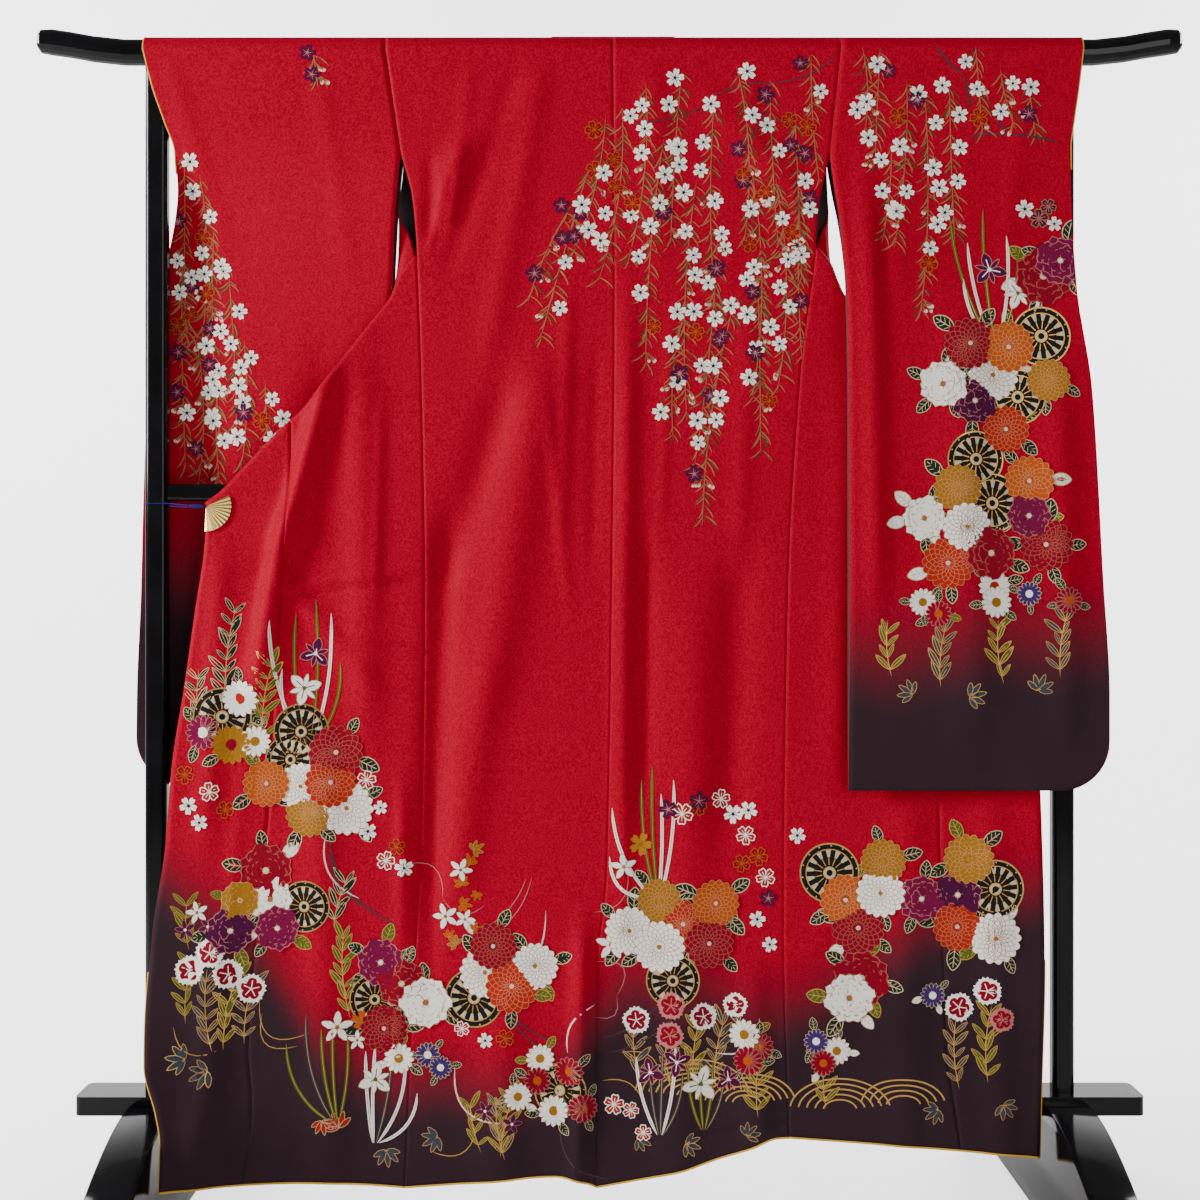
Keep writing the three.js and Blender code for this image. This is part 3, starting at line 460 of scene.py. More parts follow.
def collar_climb(front, row, w):
    """The collar up one front edge and over the rail; w is the way across it from its seam."""
    inward = -front["outward"]
    way = (SHOWN_ROWS + TURN_ROWS + row) / FRONT_ROWS
    hung_way = np.minimum(way, REAR_END)
    edge = front_point(front, 1.0, hung_way)
    near = front_point(front, 1.0, np.maximum(hung_way - 0.5 / FRONT_ROWS, TURN_END + 1e-6))
    far = front_point(front, 1.0, np.minimum(hung_way + 0.5 / FRONT_ROWS, REAR_END))
    run, rise = far[0] - near[0], far[2] - near[2]
    length = np.hypot(run, rise)
    up = np.maximum(row - REAR_ROWS, 0) / WRAP_ROWS
    drop = mix(WRAP_LENGTH + RAIL_Z - edge[2], 0, up)
    start = edge[0] + inward * COLLAR_SEAM
    corner = 1 - smooth(drop / COLLAR_CORNER)
    far_x = start + COLLAR_WIDTH * mix(inward * np.abs(rise / length), inward, corner)
    far_drop = mix(drop + COLLAR_WIDTH * np.abs(run / length), COLLAR_WIDTH, corner)
    lift = COLLAR_LIFT * smooth(corner * 2)
    return behind_rail(mix(start, far_x, w), mix(drop, far_drop, w), edge[1], lift)


def collar_middle(u, v):
    """The whole collar: up the left front, round the back of the neck and down the right."""
    row = v * COLLAR_ROWS
    last = COLLAR_ROWS - COLLAR_CLIMB_ROWS
    left = collar_climb(LEFT_FRONT, np.minimum(row, COLLAR_CLIMB_ROWS), 1 - u)
    right = collar_climb(RIGHT_FRONT, np.minimum(COLLAR_ROWS - row, COLLAR_CLIMB_ROWS), 1 - u)
    s = np.clip((row - COLLAR_CLIMB_ROWS) / NECK_ROWS, 0, 1)
    near_x = mix(NECK_LEFT, NECK_RIGHT, s)
    far_x = mix(NECK_LEFT + COLLAR_WIDTH, NECK_RIGHT - COLLAR_WIDTH, s)
    drop = mix(COLLAR_WIDTH, 0, u)
    neck = behind_rail(mix(far_x, near_x, u), drop, WRAP_DEPTH, COLLAR_LIFT)
    return choose(row <= COLLAR_CLIMB_ROWS, left, choose(row >= last, right, neck))


def sleeve_depth(rows, half, fold_rows, x, z, q):
    """Depth of one half of a sleeve; q is the way across it from the armhole."""
    y = mix(read(rows, "z", half + "_in", z), read(rows, "z", half + "_out", z), q)
    lift = folds(fold_rows, x, z) * smooth((z - SLEEVE_CALM) / SLEEVE_FULL_FOLDS)
    return y - lift - folds(SLEEVE_CREASES, x, z) * smooth((RAIL_Z - z) / FULL_CREASES)


def sleeve_across(rows, side, half, z, q):
    """Where a place of a sleeve is sideways; its front half can be narrower."""
    outer = "x_out" if half == "back" else "rear_out"
    inner = np.where(z >= ARMHOLE_Z, side_x(side, z), read(rows, "z", "x_in", z))
    return mix(inner, read(rows, "z", outer, z), q)


def sleeve_half(rows, side, fold_rows, half):
    """One half of a sleeve, from its rounded lower corner up over the rail."""
    hung = 1 - WRAP_ROWS / SLEEVE_ROWS
    outward = math.copysign(1, rows["x_out"][0])

    def middle(u, v):
        q = 1 - (1 - (u if outward > 0 else 1 - u)) ** OUTWARD_CROWDING
        up = np.clip((v - hung) / (1 - hung), 0, 1)
        drop = WRAP_LENGTH * (1 - up)
        top_x = sleeve_across(rows, side, half, np.full_like(u, RAIL_Z), q)
        over = over_rail(top_x, drop) if half == "back" else behind_rail(top_x, drop, WRAP_DEPTH)
        bottom_x = sleeve_across(rows, side, half, np.full_like(u, SLEEVE_BOTTOM), q)
        from_corner = np.abs(read(rows, "z", "x_out", SLEEVE_BOTTOM)) - np.abs(bottom_x)
        in_corner = np.maximum(SLEEVE_CORNER - from_corner, 0)
        lift = SLEEVE_CORNER - np.sqrt(SLEEVE_CORNER ** 2 - in_corner ** 2)
        z = mix(SLEEVE_BOTTOM + lift, RAIL_Z, np.minimum(v / hung, 1))
        x = sleeve_across(rows, side, half, z, q)
        return choose(v > hung, over, (x, sleeve_depth(rows, half, fold_rows, x, z, q), z))

    return middle


def new_material(name):
    material = bpy.data.materials.new(name)
    material.use_nodes = True
    nodes, links = material.node_tree.nodes, material.node_tree.links
    return material, nodes, links, nodes["Principled BSDF"]


def set_sockets(node, values):
    for name, value in values.items():
        node.inputs[name].default_value = value


def noise(nodes, links, source, scale, detail=3.0, roughness=0.5):
    node = nodes.new("ShaderNodeTexNoise")
    set_sockets(node, {"Scale": scale, "Detail": detail, "Roughness": roughness})
    links.new(source, node.inputs["Vector"])
    return node


def ramp(nodes, links, source, stops):
    node = nodes.new("ShaderNodeValToRGB")
    elements = node.color_ramp.elements
    while len(elements) < len(stops):
        elements.new(0.5)
    for element, (place, colour) in zip(elements, stops):
        element.position = place
        element.color = (*colour, 1.0)
    links.new(source, node.inputs["Fac"])
    return node


def blend_colours(nodes, links, mode, factor, first, second):
    """Mixes two colours; the factor is a number or a socket."""
    node = nodes.new("ShaderNodeMix")
    node.data_type = "RGBA"
    node.blend_type = mode
    share, first_colour, second_colour = (node.inputs[i] for i in (0, 6, 7))
    if isinstance(factor, float):
        share.default_value = factor
    else:
        links.new(factor, share)
    links.new(first, first_colour)
    links.new(second, second_colour)
    return node.outputs[2]


def darker(colour, share):
    return tuple(c * share for c in colour)


def add_bump(nodes, links, bsdf, heights):
    """Chains bumps of (height socket, strength, distance in metres)."""
    last = None
    for height, strength, distance in heights:
        bump = nodes.new("ShaderNodeBump")
        set_sockets(bump, {"Strength": strength, "Distance": distance})
        links.new(height, bump.inputs["Height"])
        if last:
            links.new(last, bump.inputs["Normal"])
        last = bump.outputs["Normal"]
    links.new(last, bsdf.inputs["Normal"])


def silk_material(name, ground, deep, dyed):
    """Crepe silk whose ground turns to a dark dye where the piece's dye attribute says so."""
    material, nodes, links, bsdf = new_material(name)
    place = nodes.new("ShaderNodeTexCoord").outputs["Object"]
    grain = noise(nodes, links, place, 430, 1.5, 0.5)
    fine = noise(nodes, links, place, 1400, 2.0, 0.6)
    cloud = noise(nodes, links, place, 5.0)
    mottled = ramp(nodes, links, grain.outputs["Fac"], ((0.42, deep), (0.58, ground)))
    dye = nodes.new("ShaderNodeAttribute")
    dye.attribute_name = "dye"
    dark = ramp(nodes, links, cloud.outputs["Fac"], ((0.35, darker(dyed, 0.8)), (0.65, dyed)))
    colour = blend_colours(nodes, links, "MIX", dye.outputs["Fac"], mottled.outputs["Color"],
                           dark.outputs["Color"])
    links.new(colour, bsdf.inputs["Base Color"])
    set_sockets(bsdf, {"Roughness": 0.5, "Specular IOR Level": 0.06,
                       "Specular Tint": (1, 0.3, 0.34, 1)})
    add_bump(nodes, links, bsdf, ((grain.outputs["Fac"], 0.35, 0.0006),
                                  (fine.outputs["Fac"], 0.3, 0.0003)))
    return material


def plain_cloth(name, colour, dark):
    """A woven cloth or cord between two tones."""
    material, nodes, links, bsdf = new_material(name)
    place = nodes.new("ShaderNodeTexCoord").outputs["Object"]
    weave = noise(nodes, links, place, 900, 2.0)
    tint = ramp(nodes, links, weave.outputs["Fac"], ((0.3, dark), (0.7, colour)))
    links.new(tint.outputs["Color"], bsdf.inputs["Base Color"])
    set_sockets(bsdf, {"Roughness": 0.6, "Specular IOR Level": 0.1})
    add_bump(nodes, links, bsdf, ((weave.outputs["Fac"], 0.3, 0.0003),))
    return material


def lacquer_material():
    """Black lacquer with a slow ripple and a trace of dust."""
    material, nodes, links, bsdf = new_material("black_lacquer")
    place = nodes.new("ShaderNodeTexCoord").outputs["Object"]
    ripple = noise(nodes, links, place, 14, 2.0)
    dust = noise(nodes, links, place, 260)
    tint = ramp(nodes, links, ripple.outputs["Fac"], ((0.3, (0.002, 0.002, 0.0025)),
                                                      (0.7, (0.005, 0.005, 0.006))))
    links.new(tint.outputs["Color"], bsdf.inputs["Base Color"])
    rough = nodes.new("ShaderNodeMapRange")
    set_sockets(rough, {"To Min": 0.07, "To Max": 0.15})
    links.new(dust.outputs["Fac"], rough.inputs["Value"])
    links.new(rough.outputs["Result"], bsdf.inputs["Roughness"])
    set_sockets(bsdf, {"Specular IOR Level": 0.2})
    add_bump(nodes, links, bsdf, ((ripple.outputs["Fac"], 0.05, 0.002),))
    return material


def gold_material(name, colour, roughness):
    """Gold that a fine wear makes uneven."""
    material, nodes, links, bsdf = new_material(name)
    place = nodes.new("ShaderNodeTexCoord").outputs["Object"]
    wear = noise(nodes, links, place, 500)
    tint = ramp(nodes, links, wear.outputs["Fac"], ((0.3, darker(colour, 0.8)), (0.7, colour)))
    links.new(tint.outputs["Color"], bsdf.inputs["Base Color"])
    set_sockets(bsdf, {"Metallic": 1.0, "Roughness": roughness})
    add_bump(nodes, links, bsdf, ((wear.outputs["Fac"], 0.15, 0.0003),))
    return material


RED = (0.41, 0.001, 0.022)
DEEP_RED = (0.29, 0.001, 0.014)
DARK_DYE = (0.031, 0.018, 0.024)
# The lining's dark grey-mauve is painted shade: a paler lining darkened to the shade that falls
# between the layers of cloth
SHADED_LINING = (0.07, 0.05, 0.056)
TURNED_EDGE = (0.5, 0.008, 0.02)
TURNED_EDGE_SHADE = (0.35, 0.005, 0.014)
GOLD_EDGE = (0.75, 0.42, 0.03)
FAN_GOLD = (0.86, 0.6, 0.2)
TIE_BLUE = (0.014, 0.012, 0.17)
TIE_BLUE_SHADE = (0.008, 0.007, 0.1)

silk = silk_material("furisode_silk", RED, DEEP_RED, DARK_DYE)
# The inner faces of the cloth take this lining, whose dark tone is painted shade
shaded_lining = plain_cloth("grey_mauve_lining_painted_shade", SHADED_LINING, darker(SHADED_LINING, 0.7))
edge_cloth = plain_cloth("turned_edge_red", TURNED_EDGE, TURNED_EDGE_SHADE)
piping_cloth = plain_cloth("gold_yellow_piping", GOLD_EDGE, darker(GOLD_EDGE, 0.75))
lacquer = lacquer_material()
fan_gold = gold_material("fan_gold", FAN_GOLD, roughness=0.26)
cord_cloth = plain_cloth("blue_tie_cord", TIE_BLUE, TIE_BLUE_SHADE)


def dye_amount(rows, softness):
    """A function that says how dark the dye is at a place; its edge wanders by two slow waves."""
    def amount(x, z):
        wander = 9 * np.sin(x / 41 + 1) + 4 * np.sin(x / 17 + z / 60)
        return smooth(0.5 + (read(rows, "x", "z", x) + wander - z) / (2 * softness))

    return amount


body_dye = dye_amount(BODY_DYE, 80)
sleeve_dye = dye_amount(SLEEVE_DYE, 110)


def link(name, mesh, *materials):
    obj = bpy.data.objects.new(name, mesh)
    bpy.context.scene.collection.objects.link(obj)
    for material in materials:
        mesh.materials.append(material)
    return obj


def mesh_from(bm, name):
    mesh = bpy.data.meshes.new(name)
    bm.to_mesh(mesh)
    bm.free()
    return mesh


def make_sheet(name, middle, columns, rows, outer, wall, dye):
    """A shell of cloth: a grid bent to the panel's middle surface, then given its thickness.

    outer is 1 where the panel's outer face looks to the side that its columns and rows turn to."""
    bm = bmesh.new()
    bmesh.ops.create_grid(bm, x_segments=columns, y_segments=rows, size=0.5)
    bm.verts.ensure_lookup_table()
    flat = np.array([v.co[:2] for v in bm.verts]) + 0.5
    x, y, z = (np.asarray(a, float) for a in middle(flat[:, 0], flat[:, 1]))
    for vert, place in zip(bm.verts, np.stack([x, y, z], 1) * MM):
        vert.co = place
    if outer < 0:
        bmesh.ops.reverse_faces(bm, faces=bm.faces)
    mesh = mesh_from(bm, name)
    dyed = mesh.attributes.new("dye", "FLOAT", "POINT")
    dyed.data.foreach_set("value", dye(x, z).astype(np.float32))
    mesh.shade_smooth()
    obj = link(f"{name}_silk", mesh, silk, shaded_lining, edge_cloth)
    shell = obj.modifiers.new("thickness", "SOLIDIFY")
    shell.thickness = wall * MM
    shell.offset = 0.0
    shell.material_offset = 1
    shell.material_offset_rim = 2
    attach(obj, "root")
    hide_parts(name)
    return obj


# The painting: motifs are drawn flat, laid on the cloth's outer face, and coloured by tone
FILL, RIM, HEART, DETAIL = range(4)

# How high the paint lies on the cloth, how far behind the face that shows it may still land, the
# sideways steps that it tries there, and the length of a stroke's pieces, in mm
FIRST_LIFT = 0.3
REACH_BACK = 6
NUDGES = (0.0, 0.4, -0.4)
STROKE_STEP = 9

# Turns in radians: any turn of a motif, and the one from each flower of a cluster to the next
ANY_TURN = 6.3
GOLDEN_TURN = 2.4

# Room along twigs and stems for a pair of leaves, and the largest leaf of a cluster, in mm
TWIG_LEAF_STEP = 13
STEM_LEAF_STEP = 17
LARGEST_LEAF = 34

PAINTS = {
    "white": (0.95, 0.91, 0.83),
    "blush": (0.82, 0.52, 0.46),
    "crimson": (0.23, 0.003, 0.014),
    "scarlet": (0.38, 0.018, 0.008),
    "orange": (0.46, 0.075, 0.008),
    "ochre": (0.32, 0.14, 0.01),
    "amber": (0.46, 0.19, 0.014),
    "plum": (0.07, 0.004, 0.04),
    "magenta": (0.17, 0.004, 0.045),
    "violet": (0.05, 0.02, 0.12),
    "pine": (0.012, 0.022, 0.013),
    "olive": (0.1, 0.12, 0.012),
    "slate": (0.04, 0.05, 0.065),
    "black": (0.01, 0.009, 0.01),
    "twig": (0.34, 0.14, 0.06),
    "moss": (0.1, 0.05, 0.02),
    "bark": (0.07, 0.03, 0.04),
    "cream": (0.6, 0.47, 0.27),
    "rose_line": (0.5, 0.16, 0.15),
    "rose": (0.4, 0.1, 0.07),
    "coral": (0.58, 0.2, 0.1),
    "apricot": (0.62, 0.27, 0.12),
    "gold": (0.62, 0.36, 0.1),
}


def paint_material():
    """Dye and pigment on silk, coloured face by face."""
    material, nodes, links, bsdf = new_material("hand_painted_silk")
    place = nodes.new("ShaderNodeTexCoord").outputs["Object"]
    grain = noise(nodes, links, place, 420, 2.5, 0.6)
    colour = nodes.new("ShaderNodeAttribute")
    colour.attribute_name = "paint"
    worn = ramp(nodes, links, grain.outputs["Fac"],
                ((0.3, (0.82, 0.82, 0.82)), (0.6, (1, 1, 1))))
    shade = blend_colours(nodes, links, "MULTIPLY", 1.0, colour.outputs["Color"],
                          worn.outputs["Color"])
    links.new(shade, bsdf.inputs["Base Color"])
    set_sockets(bsdf, {"Roughness": 0.55, "Specular IOR Level": 0.06})
    add_bump(nodes, links, bsdf, ((grain.outputs["Fac"], 0.3, 0.0005),))
    return material


paint = paint_material()
gold_leaf = gold_material("gold_leaf_line", PAINTS["gold"], roughness=0.42)


def patch(bm, segments, shape, height=0.0, fill=FILL, rim=None, rim_width=0.05, rings=0,
          ring_width=0.2):
    """One patch of paint: a disc bent to a shape, with a rim of another tone.

    Rings split a large one, so that it follows the cloth's folds."""
    verts = bmesh.ops.create_circle(bm, cap_ends=True, segments=segments, radius=1.0)["verts"]
    for vert in verts:
        x, y = shape(math.atan2(vert.co.x, vert.co.y))
        vert.co = (x, y, height)
    face = verts[0].link_faces[0]
    face.normal_update()
    if face.normal.z < 0:
        face.normal_flip()
    face.material_index = fill
    if rim is not None:
        made = bmesh.ops.inset_individual(bm, faces=[face], thickness=rim_width,
                                          use_even_offset=True)
        for border in made["faces"]:
            border.material_index = rim
    for _ in range(rings):
        bmesh.ops.inset_individual(bm, faces=[face], thickness=ring_width, use_even_offset=True)


def ribbon(bm, way, width, steps, tone=FILL, height=0.0):
    """A line of paint along way(t), as wide as width(t)."""
    verts = bmesh.ops.create_grid(bm, x_segments=1, y_segments=steps, size=0.5)["verts"]
    for vert in verts:
        t = vert.co.y + 0.5
        here, ahead = Vector(way(t)), Vector(way(t + 0.01))
        along = (ahead - here).normalized()
        place = here + Vector((along.y, -along.x)) * (vert.co.x * width(t))
        vert.co = (place.x, place.y, height)
    for face in {face for vert in verts for face in vert.link_faces}:
        face.material_index = tone


def petal(length, width, notch=0.0, base=0.04):
    """The outline of a round petal, notched at its tip."""
    def shape(a):
        y = base + (length - base) * (0.5 + 0.5 * math.cos(a)) - (notch if abs(a) < 0.2 else 0)
        return width / 2 * math.sin(a) * (1 + 0.3 * math.cos(a)), y

    return shape


def pointed(length, width, base=0.0):
    """The outline of a leaf, or of a petal with a pointed tip."""
    return lambda a: (width / 2 * math.sin(a) * abs(math.sin(a)) ** 0.5,
                      base + (length - base) * (0.5 + 0.5 * math.cos(a)))


def round_spot(radius, x=0.0, y=0.0):
    return lambda a: (x + radius * math.sin(a), y + radius * math.cos(a))


def line(start, end, bend=0.0):
    """A way from one place to another, bent to its left."""
    (x0, y0), (x1, y1) = start, end
    return lambda t: (mix(x0, x1, t) - (y1 - y0) * bend * 4 * t * (1 - t),
                      mix(y0, y1, t) + (x1 - x0) * bend * 4 * t * (1 - t))


def taper(width, tip=0.15):
    return lambda t: width * max(min(1.6 * math.sin(math.pi * min(max(t, 0), 1)) ** 0.6, 1), tip)


def turn_about_middle(bm, angle):
    bmesh.ops.rotate(bm, cent=(0, 0, 0), matrix=Matrix.Rotation(angle, 3, "Z"), verts=bm.verts[:])


def motif(name, *layers):
    """A motif from layers, each (how many round the middle, first turn, what is drawn)."""
    whole = bmesh.new()
    for count, turn, draw in layers:
        layer = bmesh.new()
        draw(layer)
        if count > 1:
            bmesh.ops.spin(layer, geom=layer.verts[:] + layer.edges[:] + layer.faces[:],
                           cent=(0, 0, 0), axis=(0, 0, 1), dvec=(0, 0, 0),
                           angle=2 * math.pi * (count - 1) / count, steps=count - 1,
                           use_duplicate=True)
        turn_about_middle(layer, turn)
        mesh = mesh_from(layer, "layer")
        whole.from_mesh(mesh)
        bpy.data.meshes.remove(mesh)
    return mesh_from(whole, name)


def draw_blossom_petal(bm):
    patch(bm, 12, petal(1.0, 0.58, 0.16, 0.1), 0.08, FILL)
    ribbon(bm, line((0, 0.02), (0, 0.6)), lambda t: 0.08 * (1.3 - t), 2, DETAIL, 0.14)


def draw_outlined_petal(bm):
    patch(bm, 12, petal(1.0, 0.7, 0.12), 0.0, FILL, RIM, 0.09)
    ribbon(bm, line((0, 0.05), (0, 0.6)), lambda t: 0.06, 1, DETAIL, 0.08)


def draw_bud(bm):
    patch(bm, 10, petal(1.0, 0.72), 0.0, FILL)
    patch(bm, 8, petal(0.45, 0.42, 0, -0.25), 0.02, DETAIL)


def draw_willow_leaf(bm):
    ribbon(bm, line((0, 0), (0, 1), 0.08), taper(0.075), 4, FILL)


def draw_narrow_leaf(bm):
    patch(bm, 10, pointed(1.0, 0.3), 0.0, FILL, RIM, 0.03)
    ribbon(bm, line((0, 0), (0, 0.9)), lambda t: 0.03, 4, RIM, 0.08)


def draw_leaf(bm):
    patch(bm, 14, pointed(1.0, 0.6), 0.0, FILL, RIM, 0.04, 1, 0.12)
    ribbon(bm, line((0, 0), (0, 0.86)), lambda t: 0.035, 4, RIM, 0.1)
    for side in (-1, 1):
        for y in (0.2, 0.42, 0.62):
            ribbon(bm, line((0, y), (side * 0.2, y + 0.17)), lambda t: 0.022, 1, RIM, 0.1)


def draw_pink_petal(bm):
    def fringed(a):
        x, y = petal(1.0, 1.0)(a)
        tooth = 0.9 if round(a / (math.pi / 12)) % 2 else 1.04
        return (x * tooth, y * tooth) if y > 0.55 else (x, y)

    patch(bm, 24, fringed, 0.0, RIM)
    patch(bm, 12, petal(0.74, 0.6), 0.12, FILL)
    ribbon(bm, line((0, 0), (0, 0.55)), lambda t: 0.06, 2, RIM, 0.2)


def draw_peony_petal(length, width, height):
    def lobed(a):
        x, y = petal(length, width)(a)
        lobe = 1 + 0.07 * math.cos(a * 7)
        return x * lobe, y * (lobe if y > length * 0.5 else 1)

    return lambda bm: patch(bm, 18, lobed, height, FILL, RIM, 0.026, 2, 0.13)


def draw_chrysanthemum_ring(outer, inner, width, height):
    return lambda bm: patch(bm, 10, pointed(outer, width, inner), height, FILL, RIM, 0.017)


def chrysanthemum(name, count, rings):
    layers = []
    for ring in range(rings):
        outer = 1.0 - ring * (0.86 / rings)
        width = 2.0 * math.pi * outer / count
        layers.append((count, (ring % 2) * math.pi / count,
                       draw_chrysanthemum_ring(outer, max(outer - 0.4, 0.02), width, ring * 0.06)))
    layers.append((1, 0, lambda bm: patch(bm, 8, round_spot(0.09), rings * 0.06 + 0.04, HEART)))
    return motif(name, *layers)


def draw_spoke(bm):
    ribbon(bm, line((0, 0.52), (0, 0.76)), lambda t: 0.07 + 0.1 * t, 2, HEART, 0.16)
    ribbon(bm, line((0, 0.26), (0, 0.5)), lambda t: 0.03, 2, RIM, 0.16)
    patch(bm, 4, round_spot(0.03, 0.1, 0.9), 0.12, DETAIL)


def draw_wheel_disc(bm):
    patch(bm, 32, round_spot(1.0), 0.0, FILL, RIM, 0.05, 4, 0.2)
    patch(bm, 28, round_spot(0.8), 0.06, FILL, RIM, 0.03, 3, 0.2)


def draw_maple_lobe(angle, length):
    def draw(bm):
        patch(bm, 8, pointed(length, 0.34), 0.0, FILL, RIM, 0.03)
        turn_about_middle(bm, angle)

    return draw


def draw_fall(bm):
    patch(bm, 12, pointed(1.0, 0.6), 0.0, FILL, RIM, 0.04)
    ribbon(bm, line((0, 0.1), (0, 0.6)), lambda t: 0.06, 2, HEART, 0.1)


MOTIFS = {
    "blossom": motif("blossom", (1, 0, lambda bm: patch(bm, 10, round_spot(0.38), 0.0, DETAIL)),
                     (5, 0, draw_blossom_petal),
                     (1, 0, lambda bm: patch(bm, 8, round_spot(0.1), 0.16, DETAIL))),
    "outlined": motif("outlined", (5, 0, draw_outlined_petal),
                      (1, 0, lambda bm: patch(bm, 8, round_spot(0.12), 0.1, HEART))),
    "bud": motif("bud", (1, 0, draw_bud)),
    "willow": motif("willow", (1, 0, draw_willow_leaf)),
    "leaf": motif("leaf", (1, 0, draw_leaf)),
    "narrow": motif("narrow", (1, 0, draw_narrow_leaf)),
    "mum": chrysanthemum("mum", 17, 6),
    "daisy": motif("daisy",
                   (15, 0, lambda bm: patch(bm, 8, petal(1.0, 0.34), 0.0, FILL, RIM, 0.03)),
                   (1, 0, lambda bm: patch(bm, 12, round_spot(0.3), 0.12, HEART, DETAIL, 0.05))),
    "pink": motif("pink", (5, 0, draw_pink_petal)),
    "peony": motif("peony",
                   (4, 0, draw_peony_petal(1.0, 1.0, 0.0)),
                   (4, 0.8, draw_peony_petal(0.98, 0.96, 0.1)),
                   (3, 0.3, draw_peony_petal(0.78, 0.84, 0.2)),
                   (3, 1.35, draw_peony_petal(0.72, 0.8, 0.3)),
                   (2, 0.6, draw_peony_petal(0.52, 0.66, 0.4)),
                   (2, 2.2, draw_peony_petal(0.46, 0.6, 0.5)),
                   (1, 0, lambda bm: patch(bm, 10, round_spot(0.13), 0.6, HEART, DETAIL, 0.05))),
    "wheel": motif("wheel", (1, 0, draw_wheel_disc), (14, 0, draw_spoke),
                   (1, 0, lambda bm: patch(bm, 14, round_spot(0.22), 0.2, HEART, RIM, 0.04)),
                   (1, 0, lambda bm: patch(bm, 10, round_spot(0.11), 0.3, FILL))),
    "maple": motif("maple", *((1, 0, draw_maple_lobe(angle, length)) for angle, length in
                              ((0, 1.0), (0.75, 0.85), (-0.75, 0.85), (1.5, 0.65), (-1.5, 0.65)))),
    "sasa": motif("sasa", *((1, 0, draw_maple_lobe(angle, length)) for angle, length in
                            ((math.pi, 1.0), (2.5, 0.95), (-2.5, 0.95), (1.9, 0.8), (-1.9, 0.8)))),
    "iris": motif("iris", (3, math.pi, draw_fall),
                  (3, 0, lambda bm: patch(bm, 10, pointed(0.84, 0.3), 0.08, FILL, RIM, 0.04)),
                  (1, 0, lambda bm: patch(bm, 8, round_spot(0.12), 0.16, HEART))),
    "star": motif("star", (5, 0, lambda bm: patch(bm, 8, pointed(1.0, 0.5), 0.0, FILL, RIM, 0.03)),
                  (1, 0, lambda bm: patch(bm, 8, round_spot(0.14), 0.1, HEART))),
}

# Paints of fill, rim, heart and detail
WHITE_BLOSSOM = ("white", "white", "blush", "pine")
PLUM_BLOSSOM = ("plum", "twig", "twig", "rose_line")
LINE_BLOSSOM = ("crimson", "orange", "orange", "orange")
BUD = ("blush", "white", "white", "twig")
TWIG = ("twig", "twig", "twig", "twig")
TWIG_LEAF = ("moss", "moss", "moss", "moss")
WHITE = ("white", "twig", "ochre", "twig")
CRIMSON = ("crimson", "rose", "blush", "cream")
SCARLET = ("scarlet", "coral", "blush", "cream")
ORANGE = ("orange", "apricot", "blush", "cream")
OCHRE = ("ochre", "apricot", "amber", "cream")
PURPLE = ("plum", "rose_line", "white", "cream")
MAGENTA = ("magenta", "rose_line", "white", "cream")
PINE = ("pine", "cream", "cream", "cream")
OLIVE = ("olive", "gold", "gold", "gold")
SLATE = ("slate", "gold", "gold", "gold")
PALE_LEAF = ("white", "cream", "cream", "cream")
WHEEL = ("black", "gold", "cream", "cream")
WHITE_PINK = ("scarlet", "white", "white", "white")


